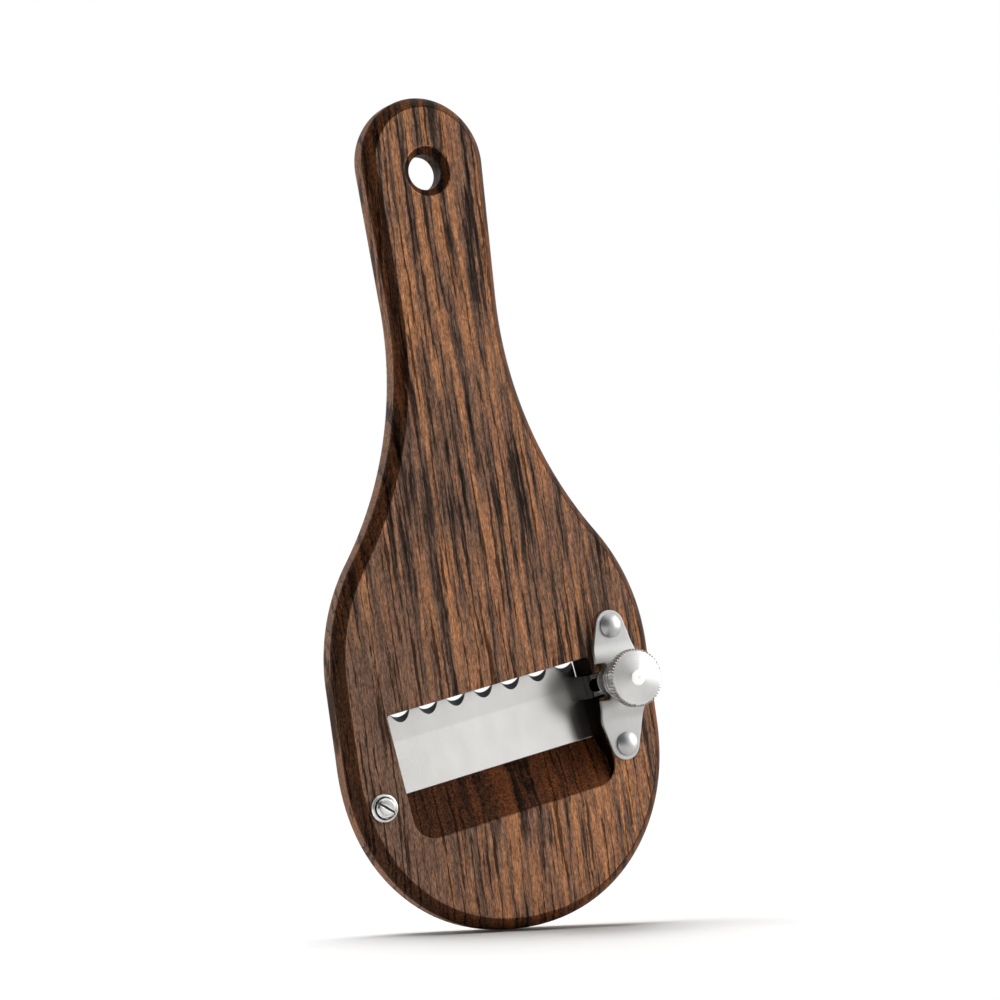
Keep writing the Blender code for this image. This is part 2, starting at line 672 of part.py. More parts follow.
def build_pivot_screw(parts, cutters, steel):
    seat = CLEARANCE + CUP_HEIGHT
    top = seat + SCREW_HEAD_HEIGHT
    neck = seat - (SCREW_HEAD_RADIUS - SCREW_SHANK_RADIUS)
    end = -BOARD_THICKNESS - NUT_PROUD
    profile = [
        (0, top),
        (SCREW_HEAD_RADIUS - SCREW_HEAD_CHAMFER, top),
        (SCREW_HEAD_RADIUS, top - SCREW_HEAD_CHAMFER),
        (SCREW_HEAD_RADIUS, seat),
        (SCREW_SHANK_RADIUS, neck),
        (SCREW_SHANK_RADIUS, end),
        (0, end),
    ]
    screw = turned("pivot_screw", profile, pivot_place(), parts)
    turn = Matrix.Rotation(SCREW_SLOT_ANGLE, 4, "Z")
    low = (-CUP_RADIUS, -SCREW_SLOT_WIDTH / 2, top - SCREW_SLOT_DEPTH)
    high = (CUP_RADIUS, SCREW_SLOT_WIDTH / 2, top + OVERRUN)
    combine(screw, box("screw_slot", low, high, pivot_place() @ turn, cutters), "DIFFERENCE")
    screw.data.materials.append(steel)
    return screw


def build_pivot_nut(parts, steel):
    back = -BOARD_THICKNESS - NUT_PROUD
    front = back + NUT_THICKNESS
    bore = SCREW_SHANK_RADIUS + CLEARANCE
    profile = [
        (bore, front),
        (NUT_RADIUS, front),
        (NUT_RADIUS, back + NUT_EDGE),
        (NUT_RADIUS - NUT_EDGE, back),
        (bore, back),
    ]
    nut = turned("pivot_nut", profile, pivot_place(), parts, TURNED_STEPS, closed=True)
    nut.data.materials.append(steel)
    return nut


def bracket_path():
    """The plate's side, up and forward: flat lobes, and a middle raised over the stud's bore."""
    flat = (PLATE_FOOT + PLATE_TOP) / 2
    raised = flat + BRACKET_RAISE
    top = UPPER_RIVET_HEIGHT + 2 * BRACKET_END_RADIUS
    bottom = LOWER_RIVET_HEIGHT - 2 * BRACKET_END_RADIUS
    upper = STUD_HEIGHT + BRACKET_BEND_ABOVE
    lower = STUD_HEIGHT - BRACKET_BEND_BELOW
    half = BRACKET_BEND_RUN / 2
    return [
        (bottom, flat),
        (lower - half, flat),
        (lower + half, raised),
        (upper - half, raised),
        (upper + half, flat),
        (top, flat),
    ]


def bracket_holes(cutters):
    """The stud's thread in the bridge and the two rivet holes."""
    low = -OVERRUN
    high = BRIDGE_TOP + OVERRUN
    holes = [("bridge_thread", STUD_X, STUD_HEIGHT, STUD_RADIUS)]
    holes.append(("upper_plate_hole", BRACKET_X, UPPER_RIVET_HEIGHT, RIVET_SHANK_RADIUS))
    holes.append(("lower_plate_hole", BRACKET_X, LOWER_RIVET_HEIGHT, RIVET_SHANK_RADIUS))
    return [
        cylinder(name, radius + CLEARANCE, low, high, front_place(x, height), cutters, SMALL_TURNED_STEPS)
        for name, x, height, radius in holes
    ]


def build_bracket_plate(parts, cutters, steel):
    middle_height = (UPPER_RIVET_HEIGHT + LOWER_RIVET_HEIGHT) / 2
    left = BRACKET_SIDE_RADIUS - BRACKET_LEFT_REACH
    right = BRACKET_RIGHT_REACH - BRACKET_SIDE_RADIUS
    circles = [
        (-UPPER_LOBE_SHIFT, UPPER_RIVET_HEIGHT, BRACKET_END_RADIUS),
        (-LOWER_LOBE_SHIFT, LOWER_RIVET_HEIGHT, BRACKET_END_RADIUS),
        (right, middle_height, BRACKET_SIDE_RADIUS),
        (left, middle_height, BRACKET_SIDE_RADIUS),
    ]
    place = front_place(BRACKET_X, 0)
    plate = hull_prism("bracket_plate", circles, -OVERRUN, BRIDGE_TOP + OVERRUN, place, parts)
    upright = Matrix(((0, 0, 1, 0), (1, 0, 0, 0), (0, 1, 0, 0), (0, 0, 0, 1)))
    strip = ribbon("bracket_strip", bracket_path(), 4 * BRACKET_LEFT_REACH, BRACKET_THICKNESS,
                   place @ upright, cutters)
    combine(plate, strip, "INTERSECT")
    edge = -BRACKET_TRIM
    low = (-2 * BRACKET_LEFT_REACH, 0, -2 * OVERRUN)
    high = (edge, BOARD_LENGTH, BRIDGE_TOP + 2 * OVERRUN)
    combine(plate, box("bracket_trim", low, high, place, cutters), "DIFFERENCE")
    half = NOTCH_HEIGHT / 2 - NOTCH_RADIUS
    inner = edge + NOTCH_DEPTH - NOTCH_RADIUS
    outer = edge - OVERRUN
    circles = [
        (x, STUD_HEIGHT + up, NOTCH_RADIUS) for x in (outer, inner) for up in (-half, half)
    ]
    notch = hull_prism("bracket_notch", circles, -2 * OVERRUN, BRIDGE_TOP + 2 * OVERRUN, place, cutters)
    for shape in [notch] + bracket_holes(cutters):
        combine(plate, shape, "DIFFERENCE")
    plate.data.materials.append(steel)
    return plate


def build_rivet(end, height, parts, steel):
    """A domed rivet: head on the plate, shank through the wood, tail closed over its burr."""
    foot = PLATE_TOP + CLEARANCE
    dome_radius = (RIVET_HEAD_RADIUS**2 + RIVET_HEAD_HEIGHT**2) / (2 * RIVET_HEAD_HEIGHT)
    centre = foot + RIVET_HEAD_HEIGHT - dome_radius
    rim_turn = math.asin((foot - centre) / dome_radius)
    dome = arc((0, centre), dome_radius, math.pi / 2, rim_turn, CORNER_STEPS)
    tail = -BOARD_THICKNESS + RIVET_TAIL_HEIGHT
    profile = [(0, dome[0][1])] + dome[1:]
    profile += [(RIVET_SHANK_RADIUS, foot), (RIVET_SHANK_RADIUS, tail), (RIVET_TAIL_RADIUS, tail)]
    profile += [(RIVET_SHANK_RADIUS, -BOARD_THICKNESS), (0, -BOARD_THICKNESS)]
    rivet = turned(end + "_rivet", profile, front_place(BRACKET_X, height), parts)
    rivet.data.materials.append(steel)
    return rivet


def build_burr(end, height, parts, steel):
    """The washer that a rivet's tail is closed over, sunk below the back face."""
    low = -BOARD_THICKNESS + RIVET_TAIL_HEIGHT + CLEARANCE
    high = low + BURR_THICKNESS
    bore = RIVET_SHANK_RADIUS + CLEARANCE
    profile = [(bore, high), (BURR_RADIUS, high), (BURR_RADIUS, low), (bore, low)]
    burr = turned(end + "_rivet_burr", profile, front_place(BRACKET_X, height), parts, SMALL_TURNED_STEPS,
                  closed=True)
    burr.data.materials.append(steel)
    return burr


def build_knurl(place, cutters):
    """The toothed rim as one star-shaped outline."""
    points = []
    for i in range(2 * KNURL_TEETH):
        turn = math.tau * i / (2 * KNURL_TEETH)
        radius = KNURL_RADIUS - KNURL_TOOTH_DEPTH * (i % 2)
        points.append((radius * math.cos(turn), radius * math.sin(turn)))
    height = KNURL_WIDTH - 2 * KNURL_CHAMFER
    lift = Matrix.Translation((0, 0, (KNURL_FOOT + KNURL_TOP) / 2))
    return prism("knurl", points, height, place @ lift, cutters)


def build_knob(parts, cutters, steel, axis):
    core = KNURL_RADIUS - KNURL_CORE_INSET
    tip = KNURL_TOP + KNOB_FACE_RISE
    profile = [
        (0, tip),
        (KNOB_TIP_RADIUS - KNOB_TIP_STEP, tip),
        (KNOB_TIP_RADIUS, tip - KNOB_TIP_STEP),
        (core - KNURL_CHAMFER, KNURL_TOP),
        (core, KNURL_TOP - KNURL_CHAMFER / 2),
        (core, KNURL_FOOT + KNURL_CHAMFER / 2),
        (core - KNURL_CHAMFER, KNURL_FOOT),
        (COLLAR_RADIUS, KNURL_FOOT),
        (COLLAR_RADIUS, COLLAR_FOOT + COLLAR_CHAMFER),
        (COLLAR_RADIUS - COLLAR_CHAMFER, COLLAR_FOOT),
        (0, COLLAR_FOOT),
    ]
    place = front_place(STUD_X, STUD_HEIGHT)
    knob = turned("adjusting_knob", profile, place, parts)
    combine(knob, build_knurl(place, cutters), "UNION")
    socket = STUD_SOCKET_DEPTH + COLLAR_FOOT
    bore = cylinder("knob_socket", STUD_RADIUS + CLEARANCE, COLLAR_FOOT - OVERRUN, socket, place, cutters,
                    SMALL_TURNED_STEPS)
    combine(knob, bore, "DIFFERENCE")
    knob.data.materials.append(steel)
    hang_on(knob, axis)
    return knob


def build_stud(parts, steel, axis):
    """The threaded stud: shoulder over the washer, neck in the fork, flange riveted on its end."""
    top = COLLAR_FOOT + STUD_SOCKET_DEPTH - CLEARANCE
    profile = [
        (0, top),
        (STUD_RADIUS, top),
        (STUD_RADIUS, SHOULDER_TOP),
        (STUD_SHOULDER_RADIUS, SHOULDER_TOP),
        (STUD_SHOULDER_RADIUS, SHOULDER_FOOT),
        (STUD_NECK_RADIUS, SHOULDER_FOOT),
        (STUD_NECK_RADIUS, FLANGE_TOP),
        (STUD_FLANGE_RADIUS, FLANGE_TOP),
        (STUD_FLANGE_RADIUS, FLANGE_FOOT),
        (0, FLANGE_FOOT),
    ]
    stud = turned("knob_stud", profile, front_place(STUD_X, STUD_HEIGHT), parts)
    stud.data.materials.append(steel)
    hang_on(stud, axis)
    return stud


def build_washer(parts, steel, axis):
    bore = STUD_NECK_RADIUS + CLEARANCE
    profile = [
        (bore, WASHER_TOP),
        (WASHER_RADIUS, WASHER_TOP),
        (WASHER_RADIUS, WASHER_FOOT),
        (bore, WASHER_FOOT),
    ]
    washer = turned("thrust_washer", profile, front_place(STUD_X, STUD_HEIGHT), parts, TURNED_STEPS,
                    closed=True)
    washer.data.materials.append(steel)
    hang_on(washer, axis)
    return washer


def main():
    clear_scene()
    parts = new_collection("truffle_slicer")
    cutters = new_collection("cutters")
    wood = material("oiled_rosewood", (0.27, 0.13, 0.075), 0.45, 0.0)
    brushed = material("brushed_steel", (0.72, 0.71, 0.69), 0.32, 1.0)
    ground = material("blade_steel", (0.76, 0.75, 0.73), 0.28, 1.0)
    turned_steel = material("turned_steel", (0.7, 0.69, 0.67), 0.25, 1.0)
    pivot = BLADE_FRAME @ Vector((PIVOT_U, -BLADE_THICKNESS / 2, PIVOT_W))
    hinge = new_empty("blade_hinge", Matrix.Translation(pivot), parts)
    axis = new_empty("stud_axis", front_place(STUD_X, STUD_HEIGHT), parts)
    build_wooden_body(parts, cutters, wood)
    build_blade(parts, cutters, ground, hinge)
    build_screw_cup(parts, brushed)
    build_pivot_screw(parts, cutters, brushed)
    build_pivot_nut(parts, brushed)
    build_bracket_plate(parts, cutters, brushed)
    for end, height in (("upper", UPPER_RIVET_HEIGHT), ("lower", LOWER_RIVET_HEIGHT)):
        build_rivet(end, height, parts, brushed)
        build_burr(end, height, parts, brushed)
    build_knob(parts, cutters, turned_steel, axis)
    build_stud(parts, turned_steel, axis)
    build_washer(parts, brushed, axis)


main()
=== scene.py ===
"""Looks of the truffle slicer: a rosewood paddle, a scalloped steel blade and its screw adjustment.

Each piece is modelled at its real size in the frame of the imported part: +Z runs up the handle, the
front is -Y, and the origin is on the axis of the hanging hole, in the plane of the back face.
"""

import logging
import math
from collections.abc import Callable, Sequence
from dataclasses import dataclass
from enum import Enum
from functools import partial

import bmesh
import bpy
from mathutils import Matrix, Vector


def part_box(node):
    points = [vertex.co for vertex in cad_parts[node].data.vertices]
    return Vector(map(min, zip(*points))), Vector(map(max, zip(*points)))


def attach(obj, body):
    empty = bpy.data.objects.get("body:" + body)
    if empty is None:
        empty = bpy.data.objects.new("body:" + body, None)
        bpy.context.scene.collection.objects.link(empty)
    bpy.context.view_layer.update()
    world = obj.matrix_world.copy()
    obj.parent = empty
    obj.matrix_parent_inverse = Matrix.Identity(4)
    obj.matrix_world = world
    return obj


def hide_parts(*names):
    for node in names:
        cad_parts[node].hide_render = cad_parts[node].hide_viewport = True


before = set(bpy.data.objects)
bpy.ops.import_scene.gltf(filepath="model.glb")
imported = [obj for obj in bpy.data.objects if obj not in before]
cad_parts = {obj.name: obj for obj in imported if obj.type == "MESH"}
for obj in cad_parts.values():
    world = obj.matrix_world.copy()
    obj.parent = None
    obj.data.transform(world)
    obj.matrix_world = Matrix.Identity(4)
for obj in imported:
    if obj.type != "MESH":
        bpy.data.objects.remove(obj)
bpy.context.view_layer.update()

logging.basicConfig(level=logging.INFO, format="%(name)s: %(message)s")
LOG = logging.getLogger("truffle_slicer")

MM = 0.001
OVERRUN = 2.0 * MM
WELD = 0.0005 * MM
CLEARANCE = 0.3 * MM
LEVEL = 4 * WELD
SHARP = math.radians(28.0)
FLAT = math.radians(0.1)
NORMAL_WEIGHT = 80
ROUND_STEPS = 96
DRILL_STEPS = 64
RIVET_ENDS = ("upper", "lower")
FACING_FRONT = Matrix.Rotation(math.radians(90.0), 4, "X")
SIDEWAYS = Matrix(((0, 0, -1, 0), (0, 1, 0, 0), (1, 0, 0, 0), (0, 0, 0, 1)))
UPRIGHT = Matrix(((0, 0, 1, 0), (1, 0, 0, 0), (0, 1, 0, 0), (0, 0, 0, 1)))

Point = tuple[float, float]
Corner = tuple[float, float, float]
Colour = tuple[float, float, float]
Piece = bpy.types.Object
Finish = bpy.types.Material
Face = bpy.types.MeshPolygon
Edge = bmesh.types.BMEdge
Socket = bpy.types.NodeSocket


class Body(Enum):
    """Bodies of the part that pieces ride on."""

    PADDLE = "paddle"
    BLADE = "swinging_blade"
    WASHER = "washer"
    KNOB = "knob"


class Slot(Enum):
    """Material slots of the part's record."""

    WOOD = "oiled_hardwood"
    BLADE = "blade_steel"
    BRACKET = "bracket_steel"
    TURNED = "turned_steel"


class Cut(Enum):
    """Ways to combine two solids."""

    ADD = "UNION"
    REMOVE = "DIFFERENCE"
    KEEP = "INTERSECT"


class Solver(Enum):
    """How a Boolean is worked out: MANIFOLD is for near-tangent cuts and level ends, where EXACT fails."""

    EXACT = "EXACT"
    MANIFOLD = "MANIFOLD"


class Reach(Enum):
    """What a lamp shines on."""

    PART = "EXCLUDE"
    FLOOR = "INCLUDE"


# Drawing and shaping


def arc(centre: Point, radius: float, start: float, end: float, steps: int) -> list[Point]:
    """Points of an arc, both ends included.

    Args:
        centre: Middle of the circle.
        radius: Radius of the circle.
        start: Angle of the first point.
        end: Angle of the last point.
        steps: Number of chords.

    Returns:
        The points in order.
    """
    turns = [start + (end - start) * i / steps for i in range(steps + 1)]
    return [(centre[0] + radius * math.cos(a), centre[1] + radius * math.sin(a)) for a in turns]


def softened(corners: Sequence[Corner], steps: int = 5, closed: bool = False) -> list[Point]:
    """Rounds the corners of a line.

    Args:
        corners: Places with how far along its sides each corner's rounding reaches.
        steps: Number of chords in a rounding.
        closed: Whether the last corner joins the first.

    Returns:
        The points of the rounded line.
    """
    points: list[Point] = []
    count = len(corners)
    for i, (x, y, reach) in enumerate(corners):
        if reach == 0 or (not closed and i in (0, count - 1)):
            points.append((x, y))
            continue
        corner = Vector((x, y))
        before = Vector(corners[i - 1][:2])
        after = Vector(corners[(i + 1) % count][:2])
        first = corner + (before - corner).normalized() * reach
        last = corner + (after - corner).normalized() * reach
        for j in range(steps + 1):
            share = j / steps
            place = first * (1 - share) ** 2 + corner * 2 * share * (1 - share) + last * share**2
            points.append((place.x, place.y))
    return points


def select_only(piece: Piece) -> None:
    """Deselects everything, then selects one object and makes it active.

    Args:
        piece: The object.
    """
    bpy.ops.object.select_all(action="DESELECT")
    piece.select_set(True)
    bpy.context.view_layer.objects.active = piece


def extrude(step: Sequence[float]) -> None:
    """Extrudes what is selected in edit mode."""
    bpy.ops.mesh.extrude_region_move(TRANSFORM_OT_translate={"value": step})


def modify(piece: Piece, kind: str, **settings: object) -> None:
    """Adds a modifier, sets it and applies it.

    Args:
        piece: The active object.
        kind: Blender's name of the modifier.
        settings: The modifier's own properties.
    """
    bpy.ops.object.modifier_add(type=kind)
    modifier = piece.modifiers[-1]
    for key, value in settings.items():
        setattr(modifier, key, value)
    bpy.ops.object.modifier_apply(modifier=modifier.name)


def draw_line(name: str, points: Sequence[tuple[float, float, float]]) -> Piece:
    """Draws a line by extruding one vertex from point to point, and stays in edit mode.

    Args:
        name: Name of the new object.
        points: Places that the line runs through.

    Returns:
        The new object.
    """
    bpy.ops.object.select_all(action="DESELECT")
    bpy.ops.mesh.primitive_plane_add(size=MM)
    piece = bpy.context.object
    piece.name = name
    piece.data.name = name
    bpy.ops.object.mode_set(mode="EDIT")
    bpy.ops.mesh.select_mode(type="VERT")
    bpy.ops.mesh.select_all(action="SELECT")
    bpy.ops.mesh.merge(type="CENTER")
    bpy.ops.transform.translate(value=points[0])
    for here, there in zip(points, points[1:]):
        extrude(tuple(b - a for a, b in zip(here, there)))
    return piece


def settle(piece: Piece, place: Matrix) -> Piece:
    """Leaves edit mode with faces outwards, and puts the place into the mesh.

    Args:
        piece: Object that is in edit mode.
        place: Where its own frame lies on the part.

    Returns:
        The same object, now at the origin.
    """
    bpy.ops.mesh.select_all(action="SELECT")
    bpy.ops.mesh.remove_doubles(threshold=WELD)
    bpy.ops.mesh.normals_make_consistent(inside=False)
    bpy.ops.object.mode_set(mode="OBJECT")
    select_only(piece)
    piece.matrix_world = place
    bpy.ops.object.transform_apply(location=True, rotation=True, scale=True)
    return piece


def slab(name: str, outline: Sequence[Point], low: float, high: float, place: Matrix) -> Piece:
    """Fills a flat outline and extrudes it along its own Z.

    Args:
        name: Name of the new object.
        outline: Points round the outline.
        low: Where the solid starts.
        high: Where the solid ends.
        place: Where its own frame lies on the part.

    Returns:
        The closed solid.
    """
    piece = draw_line(name, [(x, y, low) for x, y in outline])
    bpy.ops.mesh.select_all(action="SELECT")
    bpy.ops.mesh.edge_face_add()
    extrude((0, 0, high - low))
    return settle(piece, place)


def turned(name: str, profile: Sequence[Point], place: Matrix, steps: int = ROUND_STEPS) -> Piece:
    """Spins a profile of radius and height pairs once round its own Z.

    Args:
        name: Name of the new object.
        profile: Points of the profile, which closes on itself or starts and ends on the axis.
        place: Where its own frame lies on the part.
        steps: Number of faces round.

    Returns:
        The closed solid.
    """
    piece = draw_line(name, [(radius, 0, height) for radius, height in profile])
    bpy.ops.mesh.select_all(action="SELECT")
    bpy.ops.mesh.spin(steps=steps, angle=math.tau, center=(0, 0, 0), axis=(0, 0, 1))
    return settle(piece, place)


def cylinder(
    name: str, radius: float, low: float, high: float, place: Matrix, steps: int = ROUND_STEPS
) -> Piece:
    """Turns a plain cylinder from low to high, which serves as a drill."""
    return turned(name, [(0, high), (radius, high), (radius, low), (0, low)], place, steps)


def block(name: str, low: Sequence[float], high: Sequence[float], place: Matrix) -> Piece:
    """Extrudes a square-cornered block between two corners, which serves as a cutter."""
    outline = [(low[0], low[1]), (high[0], low[1]), (high[0], high[1]), (low[0], high[1])]
    return slab(name, outline, low[2], high[2], place)


def strip(
    name: str, path: Sequence[Point], width: float, thickness: float, place: Matrix
) -> Piece:
    """Extrudes a bent path to a width along its own Z and thickens it.

    Args:
        name: Name of the new object.
        path: Points along the strip's middle.
        width: Width of the strip.
        thickness: Thickness of its sheet.
        place: Where its own frame lies on the part.

    Returns:
        The closed solid.
    """
    piece = draw_line(name, [(x, y, -width / 2) for x, y in path])
    bpy.ops.mesh.select_all(action="SELECT")
    extrude((0, 0, width))
    settle(piece, place)
    modify(piece, "SOLIDIFY", thickness=thickness, offset=0, use_even_offset=True)
    return piece


def hull(
    name: str, circles: Sequence[Corner], low: float, high: float, place: Matrix, steps: int = ROUND_STEPS
) -> Piece:
    """Wraps the convex outline of several circles and gives it a thickness.

    Args:
        name: Name of the new object.
        circles: Middle and radius of each circle.
        low: Where the solid starts along its own Z.
        high: Where the solid ends.
        place: Where its own frame lies on the part.
        steps: Number of faces round each circle.

    Returns:
        The closed solid.
    """
    bpy.ops.object.select_all(action="DESELECT")
    rods = []
    depth = high - low
    for x, y, radius in circles:
        where = (x, y, (low + high) / 2)
        bpy.ops.mesh.primitive_cylinder_add(vertices=steps, radius=radius, depth=depth, location=where)
        rods.append(bpy.context.object)
    for rod in rods:
        rod.select_set(True)
    bpy.context.view_layer.objects.active = rods[0]
    bpy.ops.object.join()
    bpy.ops.object.transform_apply(location=True, rotation=True, scale=True)
    piece = bpy.context.object
    piece.name = name
    piece.data.name = name
    bpy.ops.object.mode_set(mode="EDIT")
    bpy.ops.mesh.select_all(action="SELECT")
    bpy.ops.mesh.convex_hull()
    bpy.ops.mesh.select_all(action="SELECT")
    bpy.ops.mesh.dissolve_limited(angle_limit=FLAT)
    return settle(piece, place)


def combine(piece: Piece, other: Piece, way: Cut, solver: Solver = Solver.EXACT) -> None:
    """Adds, removes or keeps the space of another solid, with its material, and uses it up.

    Args:
        piece: Solid that is changed.
        other: Solid that serves as the tool.
        way: How the two combine.
        solver: How the result is worked out.
    """
    select_only(piece)
    settings = {"operation": way.value, "solver": solver.value, "material_mode": "TRANSFER"}
    modify(piece, "BOOLEAN", **settings, object=other)
    bpy.data.objects.remove(other, do_unlink=True)


def round_edges(
    piece: Piece,
    width: float,
    segments: int,
    wanted: Callable[[Edge], bool],
    profile: float = 0.5,
    finish: int = -1,
) -> None:
    """Bevels the edges that a rule picks.

    Args:
        piece: Solid that is changed.
        width: Width of the rounding.
        segments: Number of faces across it.
        wanted: Says whether an edge is rounded.
        profile: Fullness of the rounding, 0.5 being round and 0.25 straight.
        finish: Which of the piece's materials the rounding gets, or -1 for its neighbours'.
    """
    select_only(piece)
    bpy.ops.object.mode_set(mode="EDIT")
    bpy.ops.mesh.select_mode(type="EDGE")
    bpy.ops.mesh.select_all(action="DESELECT")
    shape = bmesh.from_edit_mesh(piece.data)
    for edge in shape.edges:
        edge.select_set(wanted(edge))
    bmesh.update_edit_mesh(piece.data)
    bpy.ops.mesh.bevel(
        offset_type="OFFSET",
        offset=width,
        segments=segments,
        profile=profile,
        affect="EDGES",
        clamp_overlap=False,
        material=finish,
    )
    bpy.ops.mesh.select_mode(type="VERT")
    bpy.ops.object.mode_set(mode="OBJECT")


def is_sharp(edge: Edge) -> bool:
    """Whether two faces meet in an edge at a plain angle."""
    return edge.is_manifold and edge.calc_face_angle() > SHARP


def lies_level(edge: Edge, depth: float) -> bool:
    """Whether an edge lies in the plane at one depth along the part's Y."""
    return all(abs(vertex.co.y - depth) < LEVEL for vertex in edge.verts)


def is_rim(edge: Edge, level: float) -> bool:
    """Whether an edge is sharp and lies in the plane at one depth."""
    return is_sharp(edge) and lies_level(edge, level)


def paint(
    piece: Piece, finish: Finish, wanted: Callable[[Face], bool]
) -> None:
    """Gives a finish to the faces that a rule picks.

    Args:
        piece: Object that is painted.
        finish: Material of those faces.
        wanted: Says whether a face gets it.
    """
    piece.data.materials.append(finish)
    index = len(piece.data.materials) - 1
    for face in piece.data.polygons:
        if wanted(face):
            face.material_index = index


def dressed(piece: Piece, finish: Finish) -> Piece:
    """Gives a solid its first material."""
    piece.data.materials.append(finish)
    return piece


def finish_piece(piece: Piece, node: str, body: Body, slot: Slot) -> None:
    """Shades a piece, lets it ride and replace its node, and logs it.

    Args:
        piece: The modelled piece.
        node: Name of the solid that it stands for.
        body: Body that it rides on.
        slot: Not used.
    """
    select_only(piece)
    bpy.ops.object.shade_smooth_by_angle(angle=SHARP)
    modify(piece, "WEIGHTED_NORMAL", keep_sharp=True, weight=NORMAL_WEIGHT)
    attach(piece, body.value)
    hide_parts(node)
    LOG.info("%s: %d faces on %s", piece.name, len(piece.data.polygons), body.value)


# Finishes


class Recipe:
    """The nodes of a material or of the world, added one at a time."""

    def __init__(self, owner: Finish | bpy.types.World, shader: str = "Principled BSDF") -> None:
        """Starts from a new material or world and the shader that it comes with.

        Args:
            owner: The new material or world.
            shader: Name of its shader node.
        """
        owner.use_nodes = True
        self.owner = owner
        self.tree = owner.node_tree
        self.shader = self.tree.nodes[shader]

    def add(self, kind: str, inputs: dict[int | str, object], output: int = 0, **settings: object) -> Socket:
        """Adds a node.

        Args:
            kind: Blender's name of the node.
            inputs: A value or a socket for each input that isn't left alone.
            output: Which output is wanted.
            settings: The node's own properties.

        Returns:
            The wanted output.
        """
        node = self.tree.nodes.new(kind)
        for key, value in settings.items():
            setattr(node, key, value)
        for key, value in inputs.items():
            self.feed(node.inputs[key], value)
        return node.outputs[output]

    def feed(self, socket: Socket, value: object) -> None:
        """Links or sets one input.

        Args:
            socket: Input of a node.
            value: A socket to link, or a value to set.
        """
        if isinstance(value, Socket):
            self.tree.links.new(value, socket)
        else:
            socket.default_value = value

    def wire(self, **inputs: object) -> None:
        """Links or sets the shader's own inputs, an underscore standing for a space."""
        for key, value in inputs.items():
            self.feed(self.shader.inputs[key.replace("_", " ")], value)

    def places(self, place: Matrix) -> Socket:
        """Object coordinates in millimetres, in the frame of a place on the part.

        Args:
            place: A frame on the part.

        Returns:
            The coordinates.
        """
        object_place = self.add("ShaderNodeTexCoord", {}, output=3)
        inverse = place.inverted()
        return self.add(
            "ShaderNodeMapping",
            {
                "Vector": object_place,
                "Location": inverse.to_translation() / MM,
                "Rotation": inverse.to_euler(),
                "Scale": (1 / MM,) * 3,
            },
        )

    def stretch(self, vector: Socket, factors: Sequence[float]) -> Socket:
        """A vector with each direction scaled."""
        return self.add("ShaderNodeVectorMath", {0: vector, 1: factors}, operation="MULTIPLY")

    def sum(self, operation: str, first: object, second: object = 0.0, third: object = 0.0) -> Socket:
        """One sum of a Math node."""
        return self.add("ShaderNodeMath", {0: first, 1: second, 2: third}, operation=operation)

    def part(self, vector: Socket, axis: int) -> Socket:
        """One of a vector's three parts."""
        return self.add("ShaderNodeSeparateXYZ", {0: vector}, output=axis)

    def length(self, vector: Socket) -> Socket:
        """A vector's length."""
        return self.add("ShaderNodeVectorMath", {0: vector}, output=1, operation="LENGTH")

    def noise(
        self, vector: Socket, detail: float = 2.0, roughness: float = 0.5, dimensions: str = "3D"
    ) -> Socket:
        """Noise of one cell to a unit of its vector, or of its W in one dimension.

        Args:
            vector: Where the noise is read.
            detail: Number of finer layers.
            roughness: Weight of the finer layers.
            dimensions: Blender's name of its dimensions.

        Returns:
            The noise's value.
        """
        key = "W" if dimensions == "1D" else "Vector"
        inputs = {key: vector, "Scale": 1.0, "Detail": detail, "Roughness": roughness}
        return self.add("ShaderNodeTexNoise", inputs, noise_dimensions=dimensions)

    def grain(
        self, places: Socket, across: float, along: float, detail: float = 2.0, roughness: float = 0.5
    ) -> Socket:
        """Noise of so many cells to a millimetre across its frame's Z, and along it."""
        return self.noise(self.stretch(places, (across, across, along)), detail, roughness)

    def times(self, first: object, second: object) -> Socket:
        """Two colours multiplied."""
        return self.blend(1.0, first, second, "MULTIPLY")

    def blend(self, share: object, first: object, second: object, way: str = "MIX") -> Socket:
        """Two colours blended."""
        inputs = {0: share, 6: first, 7: second}
        return self.add("ShaderNodeMix", inputs, output=2, data_type="RGBA", blend_type=way)

    def range(self, value: Socket, low: float, high: float, first: float, last: float) -> Socket:
        """A value carried from one range to another, and kept within it."""
        inputs = {"Value": value, "From Min": low, "From Max": high, "To Min": first, "To Max": last}
        return self.add("ShaderNodeMapRange", inputs)

    def ramp(self, value: Socket, stops: Sequence[tuple[float, Colour]]) -> Socket:
        """Colours along a value.

        Args:
            value: Place on the ramp.
            stops: Place and colour of each stop.

        Returns:
            The colour.
        """
        node = self.tree.nodes.new("ShaderNodeValToRGB")
        elements = node.color_ramp.elements
        while len(elements) < len(stops):
            elements.new(1.0)
        for element, (place, colour) in zip(elements, stops):
            element.position = place
            element.color = (*colour, 1.0)
        self.feed(node.inputs[0], value)
        return node.outputs[0]

    def bump(self, height: Socket, depth: float, strength: float = 1.0) -> Socket:
        """A normal from a height of 0 to 1 that stands for a real depth."""
        return self.add("ShaderNodeBump", {"Height": height, "Distance": depth, "Strength": strength})


ROSEWOOD_STOPS = (
    (0.00, (0.034, 0.021, 0.015)),
    (0.16, (0.098, 0.058, 0.043)),
    (0.34, (0.176, 0.098, 0.064)),
    (0.50, (0.248, 0.121, 0.069)),
    (0.70, (0.330, 0.150, 0.074)),
    (1.00, (0.415, 0.188, 0.084)),
)


